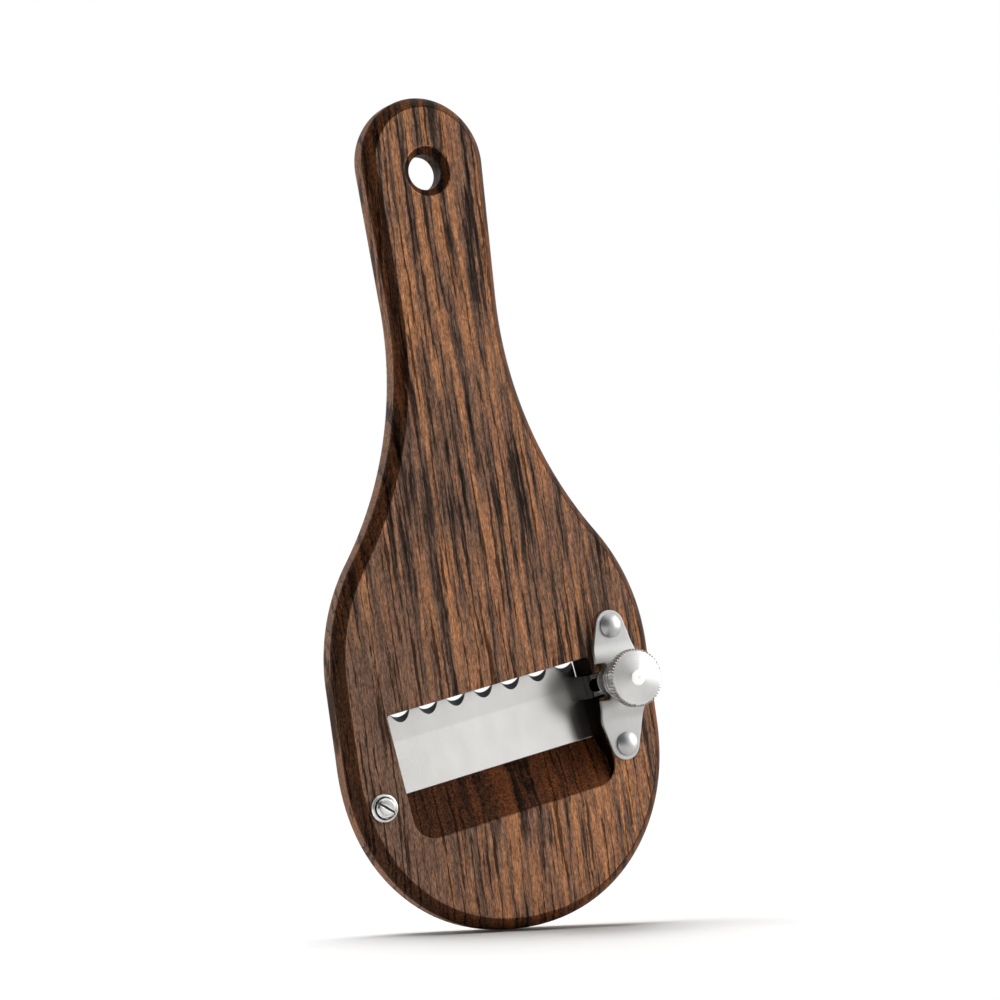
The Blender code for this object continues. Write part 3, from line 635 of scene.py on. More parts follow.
@dataclass(frozen=True)
class Rosewood:
    """Oiled rosewood: orange, brown and charcoal stripes along the grain, dark lines, fibres and flecks."""

    name: str
    depth: Colour = (1.0, 1.0, 1.0)
    specular: float = 0.06
    sheen: Colour = (1.0, 0.84, 0.70)
    roughness: float = 0.40
    heart: Colour = (-170.0, 45.0, 0.0)
    wander: float = 8.0
    waver: float = 2.0
    fray: float = 1.3
    figure_width: float = 2.5
    line_width: float = 0.85
    speckle: float = 0.50
    plain: float = 0.0
    pore_depth: float = 0.05 * MM

    def rings(self, recipe: Recipe, places: Socket) -> Socket:
        """Distance from the tree's heart, bent by the grain's slow wander, its waver and its fibres.

        Args:
            recipe: The material's nodes.
            places: Places in millimetres.

        Returns:
            The distance in millimetres.
        """
        slow = recipe.grain(places, 0.022, 0.0075)
        waver = recipe.grain(places, 0.30, 0.045, 3.0, 0.6)
        fibres = recipe.grain(places, 1.8, 0.15, 2.0, 0.6)
        away = recipe.add("ShaderNodeVectorMath", {0: places, 1: self.heart}, operation="SUBTRACT")
        flat = recipe.stretch(away, (1.0, 1.0, 0.0))
        bent = recipe.sum("MULTIPLY_ADD", slow, self.wander, recipe.length(flat))
        bent = recipe.sum("MULTIPLY_ADD", waver, self.waver, bent)
        return recipe.sum("MULTIPLY_ADD", fibres, self.fray, bent)

    def along_rings(
        self, recipe: Recipe, rings: Socket, places: Socket, width: float, length: float
    ) -> Socket:
        """Noise that follows the rings and fades in and out along the grain.

        Args:
            recipe: The material's nodes.
            rings: Distance across the rings.
            places: Places in millimetres.
            width: Width of a streak across the rings.
            length: Length of a streak along the grain.

        Returns:
            The noise's value.
        """
        across = recipe.sum("MULTIPLY", rings, 1 / width)
        along = recipe.sum("MULTIPLY", recipe.part(places, 2), 1 / length)
        vector = recipe.add("ShaderNodeCombineXYZ", {0: across, 1: along})
        return recipe.noise(vector, 2.0, 0.55, "2D")

    def calm(self, recipe: Recipe, places: Socket) -> Socket:
        """Share of plain wood, which grows towards the belly's left edge, from a least one.

        Args:
            recipe: The material's nodes.
            places: Places in millimetres.

        Returns:
            The share, from 0 to 1.
        """
        left = recipe.range(recipe.part(places, 0), -6.0, -30.0, 0.0, 0.78)
        low = recipe.range(recipe.part(places, 2), -95.0, -125.0, 0.0, 1.0)
        return recipe.sum("MAXIMUM", recipe.sum("MULTIPLY", left, low), self.plain)

    def make(self) -> Finish:
        """The finished material.

        Returns:
            The material.
        """
        recipe = Recipe(bpy.data.materials.new(self.name))
        places = recipe.places(Matrix.Identity(4))
        rings = self.rings(recipe, places)
        figure = self.along_rings(recipe, rings, places, self.figure_width, 62.0)
        broad = self.along_rings(recipe, rings, places, 23.0, 140.0)
        streaks = recipe.grain(places, 1.1, 0.07, 3.0, 0.65)
        tone = recipe.sum("MULTIPLY_ADD", broad, 0.30, figure)
        tone = recipe.sum("MULTIPLY_ADD", streaks, 0.70, tone)
        colour = recipe.ramp(recipe.range(tone, 0.76, 1.24, 0.0, 1.0), ROSEWOOD_STOPS)
        colour = recipe.blend(self.calm(recipe, places), colour, (0.155, 0.090, 0.062, 1.0))
        lines = self.along_rings(recipe, rings, places, self.line_width, 38.0)
        colour = recipe.times(colour, recipe.range(lines, 0.37, 0.44, 0.22, 1.0))
        flecks = recipe.grain(places, 2.9, 1.0, 2.0, 0.6)
        share = recipe.range(flecks, 0.30, 0.70, 1.0 - self.speckle, 1.0 + self.speckle)
        colour = recipe.times(colour, share)
        hairs = recipe.grain(places, 3.6, 0.26, 2.0, 0.6)
        colour = recipe.times(colour, recipe.range(hairs, 0.30, 0.70, 0.62, 1.42))
        colour = recipe.times(colour, (*self.depth, 1.0))
        height = recipe.sum("MULTIPLY_ADD", hairs, 0.5, flecks)
        recipe.wire(
            Base_Color=colour,
            Roughness=recipe.range(hairs, 0.3, 0.7, self.roughness - 0.06, self.roughness + 0.08),
            Normal=recipe.bump(height, self.pore_depth, 0.6),
            Specular_IOR_Level=self.specular,
            Specular_Tint=(*self.sheen, 1.0),
        )
        return recipe.owner


@dataclass(frozen=True)
class BrushedSteel:
    """Steel brushed along its place's own Z with fine straight lines, with a painted shade step above one
    level if one is given.
    """

    name: str
    place: Matrix
    colour: Colour = (0.74, 0.73, 0.71)
    roughness: float = 0.3
    metallic: float = 1.0
    contrast: float = 0.06
    line_width: float = 0.22
    line_length: float = 9.0
    line_depth: float = 0.002 * MM
    # Level above which the steel is painted a little darker: a painted shade step.
    painted_shade_above: float | None = None

    def make(self) -> Finish:
        """The finished material.

        Returns:
            The material.
        """
        recipe = Recipe(bpy.data.materials.new(self.name))
        places = recipe.places(self.place)
        across = 1 / self.line_width
        lines = recipe.grain(places, across, 1 / self.line_length, 3.0, 0.65)
        cloud = recipe.grain(places, 0.16, 0.10, 3.0)
        light = recipe.range(lines, 0.25, 0.75, 1.0 - self.contrast, 1.0 + self.contrast / 2)
        worn = recipe.range(cloud, 0.3, 0.7, 0.96, 1.03)
        shade = recipe.sum("MULTIPLY", light, worn)
        # Painted shade: the steel darkens by a tenth above the level.
        if self.painted_shade_above is not None:
            edge = self.painted_shade_above
            ground = recipe.range(recipe.part(places, 2), edge - 0.4, edge + 0.4, 1.0, 0.90)
            shade = recipe.sum("MULTIPLY", shade, ground)
        tint = recipe.times((*self.colour, 1.0), shade)
        recipe.wire(
            Base_Color=tint,
            Metallic=self.metallic,
            Roughness=recipe.range(lines, 0.25, 0.75, self.roughness - 0.02, self.roughness + 0.03),
            Normal=recipe.bump(lines, self.line_depth, 0.12),
        )
        return recipe.owner


@dataclass(frozen=True)
class TurnedSteel:
    """Steel turned on a lathe, with fine rings round its place's own Z that draw its highlights out."""

    name: str
    place: Matrix
    colour: Colour = (0.72, 0.71, 0.69)
    roughness: float = 0.26
    draw: float = 0.0
    ring_width: float = 0.11
    ring_depth: float = 0.003 * MM
    side_share: float = 1.37

    def across_rings(self, recipe: Recipe, places: Socket) -> Socket:
        """Direction across the lathe marks, for a place whose own Z points forward.

        Args:
            recipe: The material's nodes.
            places: Places in millimetres.

        Returns:
            The direction in the world.
        """
        back = recipe.sum("MULTIPLY", recipe.part(places, 1), -1.0)
        along = recipe.add("ShaderNodeCombineXYZ", {0: back, 2: recipe.part(places, 0)})
        spaces = {"vector_type": "VECTOR", "convert_from": "OBJECT", "convert_to": "WORLD"}
        along = recipe.add("ShaderNodeVectorTransform", {0: along}, **spaces)
        normal = recipe.add("ShaderNodeNewGeometry", {}, output=1)
        return recipe.add("ShaderNodeVectorMath", {0: normal, 1: along}, operation="CROSS_PRODUCT")

    def make(self) -> Finish:
        """The finished material.

        Returns:
            The material.
        """
        recipe = Recipe(bpy.data.materials.new(self.name))
        places = recipe.places(self.place)
        flat = recipe.stretch(places, (1.0, 1.0, 0.0))
        height = recipe.part(places, 2)
        along = recipe.sum("MULTIPLY_ADD", height, self.side_share, recipe.length(flat))
        rings = recipe.noise(recipe.sum("MULTIPLY", along, 1 / self.ring_width), 3.0, 0.6, "1D")
        cloud = recipe.grain(places, 0.35, 0.35, 3.0)
        light = recipe.range(rings, 0.25, 0.75, 0.88, 1.06)
        worn = recipe.range(cloud, 0.3, 0.7, 0.95, 1.03)
        tint = recipe.times((*self.colour, 1.0), recipe.sum("MULTIPLY", light, worn))
        recipe.wire(
            Base_Color=tint,
            Metallic=1.0,
            Roughness=recipe.range(rings, 0.25, 0.75, self.roughness - 0.04, self.roughness + 0.08),
            Normal=recipe.bump(rings, self.ring_depth, 0.8),
        )
        if self.draw:
            recipe.wire(Anisotropic=self.draw, Tangent=self.across_rings(recipe, places))
        return recipe.owner


# Places on the part


BOARD_LOW, BOARD_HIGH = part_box("wooden_body")
FRONT = BOARD_LOW.y
THICKNESS = BOARD_HIGH.y - BOARD_LOW.y


@dataclass(frozen=True)
class Seat:
    """A round node's middle on the front face, its radius, and its levels in front of that face."""

    x: float
    z: float
    radius: float
    foot: float
    top: float

    @classmethod
    def of(cls, node: str) -> "Seat":
        """Reads a seat from the box of a node.

        Args:
            node: Name of a solid.

        Returns:
            The seat.
        """
        low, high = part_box(node)
        middle = ((low.x + high.x) / 2, (low.z + high.z) / 2)
        return cls(*middle, (high.x - low.x) / 2, FRONT - high.y, FRONT - low.y)

    def place(self) -> Matrix:
        """A frame on the front face with its own Z pointing forward."""
        return front_place(self.x, self.z)


def front_place(x: float, z: float) -> Matrix:
    """A frame on the front face of the wood, its own Z pointing forward."""
    return Matrix.Translation((x, FRONT, z)) @ FACING_FRONT


def ring(
    name: str,
    node: str,
    section: Sequence[Corner],
    steel: Finish,
    ride: tuple[Body, Slot],
    steps: int = ROUND_STEPS,
) -> None:
    """Turns a section that closes on itself into a finished piece on its node's axis.

    Args:
        name: Name of the new object.
        node: Name of the solid that it stands for.
        section: Corners of the section, as radius, level and rounding.
        steel: Its finish.
        ride: The body that it rides on and its material slot.
        steps: Number of faces round.
    """
    profile = softened(section, closed=True)
    piece = turned(name, profile + profile[:1], Seat.of(node).place(), steps)
    finish_piece(dressed(piece, steel), node, *ride)


@dataclass(frozen=True)
class Window:
    """The slanted window and the blade's place in it."""

    width: float = 61.2 * MM
    height: float = 33.8 * MM
    x: float = -1.3 * MM
    centre_height: float = 47.0 * MM
    tilt: float = math.radians(7.0)
    ramp_radius: float = 6.0 * MM
    mouth_radius: float = 0.8 * MM
    mouth_gap: float = 1.8 * MM
    blade_proud: float = 0.7 * MM
    blade_tilt: float = math.radians(3.0)

    def frame(self) -> Matrix:
        """The window's frame: across, backward and up the slanted window, from its middle."""
        middle = Matrix.Translation((self.x, 0, BOARD_LOW.z + self.centre_height))
        return middle @ Matrix.Rotation(-self.tilt, 4, "Y")

    def blade_frame(self) -> Matrix:
        """The blade's frame: its origin on the back surface at the scallops' floor."""
        floor = Matrix.Translation((0, self.blade_proud, self.height / 2 - self.mouth_gap))
        return self.frame() @ floor @ Matrix.Rotation(-self.blade_tilt, 4, "X")

    def stud_place(self) -> Point:
        """The stud's place across and up the window.

        Returns:
            The two distances.
        """
        knob = Seat.of("adjusting_knob")
        place = self.frame().inverted() @ Vector((knob.x, 0, knob.z))
        return place.x, place.z

    def outline(self) -> list[Point]:
        """The window's outline, round at the ramp's corners and nearly sharp at the mouth.

        Returns:
            The points in order.
        """
        half_width = self.width / 2
        half_height = self.height / 2
        quarter = math.pi / 2
        points: list[Point] = []
        for across, up, radius, start in (
            (1, -1, self.ramp_radius, -quarter),
            (1, 1, self.mouth_radius, 0.0),
            (-1, 1, self.mouth_radius, quarter),
            (-1, -1, self.ramp_radius, math.pi),
        ):
            centre = (across * (half_width - radius), up * (half_height - radius))
            points += arc(centre, radius, start, start + quarter, 14)
        return points


WINDOW = Window()


# Sub-assemblies


@dataclass
class Paddle:
    """The one-piece board with its window, ramp, hanging hole and bores."""

    edge_radius: float = 3.0 * MM
    front_profile: float = 0.33
    end_radius: float = 17.7 * MM
    handle_length: float = 54.4 * MM
    handle_taper: float = math.radians(2.48)
    neck_radius: float = 101.5 * MM
    shoulder_radius: float = 52.3 * MM
    side_length: float = 21.0 * MM
    base_exponent: float = 0.946
    hole_radius: float = 4.7 * MM
    countersink_width: float = 2.2 * MM
    front_countersink: float = 1.8 * MM
    back_countersink: float = 3.0 * MM
    ramp_step: float = 0.1 * MM
    seat_gap: float = 0.15 * MM
    relief_depth: float = 4.5 * MM
    relief_rise: float = 1.9 * MM
    recess_clearance: float = 0.4 * MM
    bore_radius: float = 5.3 * MM
    pivot_bore_radius: float = 2.0 * MM
    rivet_bore_radius: float = 1.8 * MM
    rim_softness: float = 0.4 * MM
    edge_segments: int = 9
    back_profile: float = 0.5
    front_normal: float = 0.97
    side_normal: float = 0.2
    arc_steps: int = 40
    shoulder_steps: int = 30
    base_steps: int = 72

    def half_outline(self) -> list[Point]:
        """Right half of the board, from the middle of the handle's end to the middle of the base.

        Returns:
            The points in order.
        """
        half_width = (BOARD_HIGH.x - BOARD_LOW.x) / 2
        length = BOARD_HIGH.z - BOARD_LOW.z
        taper = self.handle_taper
        points = arc((0, length - self.end_radius), self.end_radius, math.pi / 2, -taper, self.arc_steps)
        side_x, side_height = points[-1]
        neck_height = length - self.handle_length
        neck_x = side_x - (side_height - neck_height) * math.tan(taper)
        reach = self.neck_radius * math.cos(taper)
        across = reach + self.shoulder_radius - (half_width - neck_x)
        lean = math.acos(across / (self.neck_radius + self.shoulder_radius))
        neck = (neck_x + reach, neck_height - self.neck_radius * math.sin(taper))
        points += arc(neck, self.neck_radius, math.pi - taper, math.pi + lean, self.arc_steps)
        shoulder = (
            points[-1][0] - self.shoulder_radius * math.cos(lean),
            points[-1][1] - self.shoulder_radius * math.sin(lean),
        )
        points += arc(shoulder, self.shoulder_radius, lean, 0, self.shoulder_steps)[1:]
        belly_height = points[-1][1] - self.side_length
        points.append((half_width, belly_height))
        for i in range(1, self.base_steps):
            turn = math.pi / 2 * i / self.base_steps
            across = half_width * math.cos(turn) ** self.base_exponent
            points.append((across, belly_height * (1 - math.sin(turn) ** self.base_exponent)))
        return points + [(0, 0)]

    def board(self, wood: Finish, rim: Finish) -> Piece:
        """The uncut board, its back edge round and its front edge eased flatter, the eased front edge
        darkened as painted shade.

        Args:
            wood: Finish of the wood.
            rim: Finish of the eased front edge: darker wood, a painted shade.

        Returns:
            The closed solid.
        """
        half = self.half_outline()
        outline = half + [(-x, height) for x, height in half[-2:0:-1]]
        place = front_place(0, BOARD_LOW.z)
        piece = dressed(slab("rosewood_paddle", outline, -THICKNESS, 0, place), wood)
        for level, profile in ((0, self.back_profile), (FRONT, self.front_profile)):
            at_level = partial(is_rim, level=level)
            round_edges(piece, self.edge_radius, self.edge_segments, at_level, profile)
        # Painted shade: the faces of the front rounding get darker wood.
        paint(piece, rim, lambda face: -self.front_normal < face.normal.y < -self.side_normal)
        return piece

    def window_cutter(self, blade: "Blade", shade_painted_walls: Finish, ramp: Finish) -> Piece:
        """The window's section with its ramp, drawn across and kept inside the window's outline.

        Args:
            blade: The blade, whose foot the ramp's lip meets.
            shade_painted_walls: Finish of the window's cut faces: near-black wood, a painted shade.
            ramp: Finish of the ramp: darker wood without sheen, partly the cut grain's own tone and partly
                painted shade.

        Returns:
            The cutter.
        """
        foot = WINDOW.blade_frame() @ Vector((0, -blade.thickness, blade.foot()))
        foot = WINDOW.frame().inverted() @ foot
        half_height = WINDOW.height / 2
        lip = foot.z - self.seat_gap
        lip_depth = foot.y + self.ramp_step
        slope = (lip_depth - FRONT) / (lip + half_height)
        front = FRONT - slope * OVERRUN
        section = [
            (-half_height - OVERRUN, front),
            (lip, lip_depth),
            (lip, OVERRUN),
            (half_height + OVERRUN, OVERRUN),
            (half_height + OVERRUN, front - OVERRUN),
            (-half_height - OVERRUN, front - OVERRUN),
        ]
        reach = WINDOW.width / 2 + OVERRUN
        cutter = dressed(slab("window_section", section, -reach, reach, WINDOW.frame() @ SIDEWAYS), ramp)
        depth = 2 * THICKNESS
        outline = slab("window_outline", WINDOW.outline(), -depth, depth, WINDOW.frame() @ FACING_FRONT)
        combine(cutter, dressed(outline, shade_painted_walls), Cut.KEEP)
        return cutter

    def relief_cutter(self, blade: "Blade", shade_painted_walls: Finish) -> Piece:
        """The wedge that opens the mouth towards the back.

        Args:
            blade: The blade, whose sizes the cuts follow.
            shade_painted_walls: Finish of the cut faces: near-black wood, a painted shade.

        Returns:
            The cutter.
        """
        half_height = WINDOW.height / 2
        slope = self.relief_rise / self.relief_depth
        section = [
            (half_height - OVERRUN, -self.relief_depth - OVERRUN / slope),
            (half_height - OVERRUN, OVERRUN),
            (half_height + self.relief_rise + slope * OVERRUN, OVERRUN),
        ]
        reach = WINDOW.width / 2 - blade.end_gap - WINDOW.mouth_radius
        return dressed(slab("mouth_relief", section, -reach, reach, WINDOW.frame() @ SIDEWAYS), shade_painted_walls)

    def recess_cutter(self, blade: "Blade", shade_painted_walls: Finish) -> Piece:
        """The bed that is milled from the back for the blade's left end and its lug.

        Args:
            blade: The blade, whose sizes the cuts follow.
            shade_painted_walls: Finish of the cut faces: near-black wood, a painted shade.

        Returns:
            The cutter.
        """
        depth = blade.thickness + self.recess_clearance
        place = WINDOW.blade_frame() @ FACING_FRONT
        outline = blade.outline(self.recess_clearance)
        cutter = dressed(slab("blade_recess", outline, -THICKNESS, depth, place), shade_painted_walls)
        reach = WINDOW.width
        low = (-WINDOW.width / 2 - reach, -THICKNESS, -reach)
        high = (-WINDOW.width / 2 + OVERRUN, THICKNESS, reach)
        combine(cutter, dressed(block("recess_end", low, high, WINDOW.frame()), shade_painted_walls), Cut.KEEP)
        return cutter

    def hole_cutter(self, wood: Finish) -> Piece:
        """The hanging hole with a countersink at each face.

        Args:
            wood: Finish of the hole's faces: darkened wood, a painted shade.

        Returns:
            The cutter.
        """
        wide = self.hole_radius + self.countersink_width
        front = self.countersink_width / self.front_countersink
        back = self.countersink_width / self.back_countersink
        profile = softened(
            [
                (0, OVERRUN, 0),
                (wide + front * OVERRUN, OVERRUN, 0),
                (self.hole_radius, -self.front_countersink, 0.5 * MM),
                (self.hole_radius, -THICKNESS + self.back_countersink, 0.5 * MM),
                (wide + back * OVERRUN, -THICKNESS - OVERRUN, 0),
                (0, -THICKNESS - OVERRUN, 0),
            ]
        )
        return dressed(turned("hanging_hole", profile, front_place(0, 0)), wood)

    def bore_cutters(self, blade: "Blade", shade_painted_walls: Finish) -> list[Piece]:
        """The stud's bore, the channel that the fork enters it through, and the fasteners' holes.

        Args:
            blade: The blade, whose sizes the cuts follow.
            shade_painted_walls: Finish of the cut faces: near-black wood, a painted shade.

        Returns:
            The cutters.
        """
        knob = Seat.of("adjusting_knob")
        flange = Seat.of("knob_stud")
        floor = flange.foot - 2 * CLEARANCE
        made = [cylinder("stud_bore", self.bore_radius, floor, OVERRUN, knob.place())]
        across, up = WINDOW.stud_place()
        half = blade.fork_width / 2 + CLEARANCE
        low = (WINDOW.width / 2 - OVERRUN, FRONT - OVERRUN, up - half)
        high = (across, FRONT - blade.fork_foot() + 2 * CLEARANCE, up + half)
        made.append(block("fork_channel", low, high, WINDOW.frame()))
        through = -THICKNESS - OVERRUN
        pivot = Seat.of("screw_cup").place()
        made.append(cylinder("pivot_hole", self.pivot_bore_radius, through, OVERRUN, pivot, 48))
        for end in RIVET_ENDS:
            rivet = Seat.of(end + "_rivet")
            burr = Seat.of(end + "_rivet_burr")
            wide = burr.radius + CLEARANCE
            seat = burr.top + CLEARANCE
            radius = self.rivet_bore_radius
            profile = [(0, OVERRUN), (radius, OVERRUN), (radius, seat)]
            profile += [(wide, seat), (wide, through), (0, through)]
            made.append(turned(end + "_rivet_hole", profile, rivet.place(), DRILL_STEPS))
        return [dressed(cutter, shade_painted_walls) for cutter in made]

    def build(self, blade: "Blade") -> None:
        """Builds the board, cuts it and dresses it.

        Args:
            blade: The blade, whose sizes the cuts follow.
        """
        wood = Rosewood("rosewood_face").make()
        # The ramp's wood is darker and dull: partly the cut grain's own tone, partly painted shade of the
        # recess.
        ramp = Rosewood("rosewood_ramp_cut_and_shade", (0.36, 0.255, 0.185), 0.05, roughness=0.5, speckle=0.75).make()
        # Painted shade: the window's cut faces, the bores and the blade's bed get near-black wood.
        shade_painted_walls = Rosewood("rosewood_cut_painted_shade", depth=(0.035, 0.026, 0.022), specular=0.02, roughness=0.7).make()
        # Painted shade on the front rounding.
        rim = Rosewood("rosewood_rim_painted_shade", depth=(0.38, 0.30, 0.24), specular=0.04, speckle=0.6).make()
        # Painted shade: the hanging hole's faces get darkened wood.
        hole = Rosewood("rosewood_hole_painted_shade", depth=(0.22, 0.18, 0.15), specular=0.03, speckle=0.6).make()
        # Painted sheen: the side faces get lighter, calmer wood in place of their milky sheen.
        side = Rosewood("rosewood_side_painted_sheen", depth=(1.35, 1.22, 1.08), specular=0.02, plain=0.75).make()
        piece = self.board(wood, rim)
        # The lighter painted sheen goes on the faces that look sideways.
        paint(piece, side, lambda face: abs(face.normal.y) < self.side_normal)
        cutters = [self.window_cutter(blade, shade_painted_walls, ramp), self.relief_cutter(blade, shade_painted_walls)]
        cutters += [self.recess_cutter(blade, shade_painted_walls), self.hole_cutter(hole)]
        cutters += self.bore_cutters(blade, shade_painted_walls)
        for cutter in cutters:
            combine(piece, cutter, Cut.REMOVE)
        round_edges(piece, self.rim_softness, 3, partial(is_rim, level=FRONT), finish=0)
        # The cut faces that face right, on the window's left side, take the ramp's wood instead of the
        # near-black painted shade.
        dark = piece.data.materials.find(shade_painted_walls.name)
        paint(piece, ramp, lambda face: face.material_index == dark and face.normal.x > 0.5)
        finish_piece(piece, "wooden_body", Body.PADDLE, Slot.WOOD)


@dataclass
class Blade:
    """The scalloped blade with its lug at the left and its stepped, forked end at the right."""

    thickness: float = 0.9 * MM
    width: float = 21.85 * MM
    end_gap: float = 0.3 * MM
    edge_softness: float = 0.09 * MM
    scallop_count: int = 7
    scallop_pitch: float = 8.4 * MM
    scallop_middle: float = 2.6 * MM
    scallop_depth: float = 2.2 * MM
    scallop_radius: float = 4.1 * MM
    grind_radius: float = 3.9 * MM
    grind_tilt: float = math.radians(60.0)
    grind_length: float = 14.0 * MM
    heel_width: float = 3.0 * MM
    heel_run: float = 6.7 * MM
    heel_drop: float = 8.2 * MM
    lug_radius: float = 3.9 * MM
    lug_blend: float = 0.75 * MM
    lug_turns: tuple[float, float] = (math.radians(70.0), math.radians(300.0))
    lug_hole_radius: float = 2.0 * MM
    fork_width: float = 6.1 * MM
    fork_reach: float = 2.7 * MM
    fork_bend: float = 1.2 * MM
    fork_inset: float = 0.1 * MM
    slot_radius: float = 1.8 * MM
    slot_length: float = 8.0 * MM
    slot_overlap: float = 1.1 * MM
    # Level in the blade's frame, in millimetres, above which the steel gets its painted shade step.
    painted_shade_level: float = -6.0
    slant_growth: float = 0.65
    bite_steps: int = 128
    grind_steps: int = 160

    def foot(self) -> float:
        """Height of the blade's lower edge over the scallops' floor, which is below it."""
        return self.scallop_depth - self.width

    def right(self) -> float:
        """The blade's right edge across the window."""
        return WINDOW.width / 2 - self.end_gap

    def pivot(self) -> Point:
        """The pivot's place across and up the blade.

        Returns:
            The two distances.
        """
        screw = Seat.of("screw_cup")
        on_window = WINDOW.frame().inverted() @ Vector((screw.x, 0, screw.z))
        rise = (on_window.z - WINDOW.height / 2 + WINDOW.mouth_gap) / math.cos(WINDOW.blade_tilt)
        return on_window.x, rise

    def fork_foot(self) -> float:
        """Level of the fork's back surface in front of the wood's face."""
        return Seat.of("thrust_washer").foot - CLEARANCE - self.thickness

    def outline(self, grow: float = 0.0) -> list[Point]:
        """The blade flat, across and up, its lug at the left, grown by an allowance all round.

        Args:
            grow: Allowance all round.

        Returns:
            The points in order.
        """
        left = -WINDOW.width / 2 - self.heel_width
        pivot = self.pivot()
        top = self.scallop_depth + grow
        slant = grow * self.slant_growth
        first, last = self.lug_turns
        points = [(self.right() + grow, self.foot() - grow), (self.right() + grow, top)]
        points += [(left + self.heel_run - slant, top), (left - grow, self.scallop_depth - self.heel_drop)]
        points += arc(pivot, self.lug_radius + grow, first, last, 40)
        points.append((-WINDOW.width / 2 - self.lug_blend, self.foot() - grow))
        return points[::-1]

    def sheet(self, steel: Finish) -> Piece:
        """The uncut sheet with its edges broken.

        Args:
            steel: Finish of the piece.

        Returns:
            The closed solid.
        """
        place = WINDOW.blade_frame() @ FACING_FRONT
        piece = dressed(slab("scalloped_blade", self.outline(), 0, self.thickness, place), steel)
        round_edges(piece, self.edge_softness, 2, is_sharp)
        return piece

    def scallop_cutters(self, edge: Finish) -> list[Piece]:
        """A bite through the edge and a slanted grind that bevels its front, for each scallop.

        Args:
            edge: Finish of the cut faces: charcoal steel, a painted dark reflection.

        Returns:
            The cutters.
        """
        slanted = Matrix.Rotation(math.radians(90.0) + self.grind_tilt, 4, "X")
        grind_rise = self.grind_radius / math.cos(self.grind_tilt)
        made = []
        for i in range(self.scallop_count):
            across = self.scallop_middle + (i - (self.scallop_count - 1) / 2) * self.scallop_pitch
            for name, radius, rise, turn, half, steps in (
                ("bite", self.scallop_radius, self.scallop_radius, FACING_FRONT, OVERRUN, self.bite_steps),
                ("grind", self.grind_radius, grind_rise, slanted, self.grind_length, self.grind_steps),
            ):
                place = WINDOW.blade_frame() @ Matrix.Translation((across, 0, rise)) @ turn
                made.append(cylinder(name, radius, -half, half, place, steps))
        return [dressed(cutter, edge) for cutter in made]

    def fork(self, steel: Finish, dark: Finish) -> Piece:
        """The stepped end: up from the blade's right edge, the rising part near-black as painted shade, then
        across to past the stud.

        Args:
            steel: Finish of the piece.
            dark: Finish of its near-black faces, a painted shade.

        Returns:
            The closed solid.
        """
        across, up = WINDOW.stud_place()
        edge = self.right() - self.fork_inset - self.thickness / 2
        forward = FRONT - self.fork_foot() - self.thickness / 2
        rise = up - WINDOW.height / 2 + WINDOW.mouth_gap
        foot = WINDOW.frame().inverted() @ WINDOW.blade_frame() @ Vector((0, -self.thickness / 2, rise))
        centre = (edge + self.fork_bend, forward + self.fork_bend)
        bend = arc(centre, self.fork_bend, math.pi, 1.5 * math.pi, 10)
        path = [(edge, foot.y)] + bend + [(across + self.fork_reach, forward)]
        place = WINDOW.frame() @ Matrix.Translation((0, 0, up))
        piece = dressed(strip("fork", path, self.fork_width, self.thickness, place), steel)
        ends = (across + self.slot_length, across - self.slot_length / 2 - self.slot_overlap)
        circles = [(x, up, self.slot_radius) for x in ends]
        upright = WINDOW.frame() @ Matrix.Translation((0, FRONT, 0)) @ FACING_FRONT
        low = self.fork_foot() - CLEARANCE
        high = self.fork_foot() + self.thickness + CLEARANCE
        slot = hull("fork_slot", circles, low, high, upright, DRILL_STEPS)
        # The slot's cut faces get the near-black painted shade.
        combine(piece, dressed(slot, dark), Cut.REMOVE)
        round_edges(piece, self.edge_softness, 2, is_sharp)
        step = (WINDOW.frame() @ Vector((edge + self.fork_bend + self.thickness / 2, forward, up))).x
        # Painted shade: the rising part of the step is near-black.
        paint(piece, dark, lambda face: face.center.x < step)
        return piece

    def build(self) -> None:
        """Builds the blade and dresses it."""
        lengthwise = WINDOW.blade_frame()
        lines = {"line_depth": 0.0005 * MM, "painted_shade_above": self.painted_shade_level}
        steel = BrushedSteel("blade_brushed", lengthwise, (0.86, 0.845, 0.82), 0.24, **lines).make()
        ground = lengthwise @ FACING_FRONT
        # Painted reflection: the ground scallops get charcoal steel that stands in for the dark they mirror.
        edge = BrushedSteel("blade_ground_edge_painted_reflection", ground, (0.115, 0.117, 0.122), 0.5, metallic=0.4).make()
        # Near-black steel as painted shade on the step and at the blade's right end.
        dark = BrushedSteel("blade_step_painted_shade", lengthwise, (0.035, 0.034, 0.034), 0.4).make()
        piece = self.sheet(steel)
        # Painted shade: the faces at the blade's right end are near-black.
        end = WINDOW.width / 2 - 2 * self.end_gap
        paint(piece, dark, lambda face: (WINDOW.frame().inverted() @ face.center).x > end)
        pivot = Seat.of("screw_cup").place()
        hole = cylinder("lug_hole", self.lug_hole_radius, -2 * THICKNESS, OVERRUN, pivot, DRILL_STEPS)
        for cutter in [dressed(hole, steel)] + self.scallop_cutters(edge):
            combine(piece, cutter, Cut.REMOVE, Solver.MANIFOLD)
        combine(piece, self.fork(steel, dark), Cut.ADD, Solver.MANIFOLD)
        finish_piece(piece, "blade", Body.BLADE, Slot.BLADE)


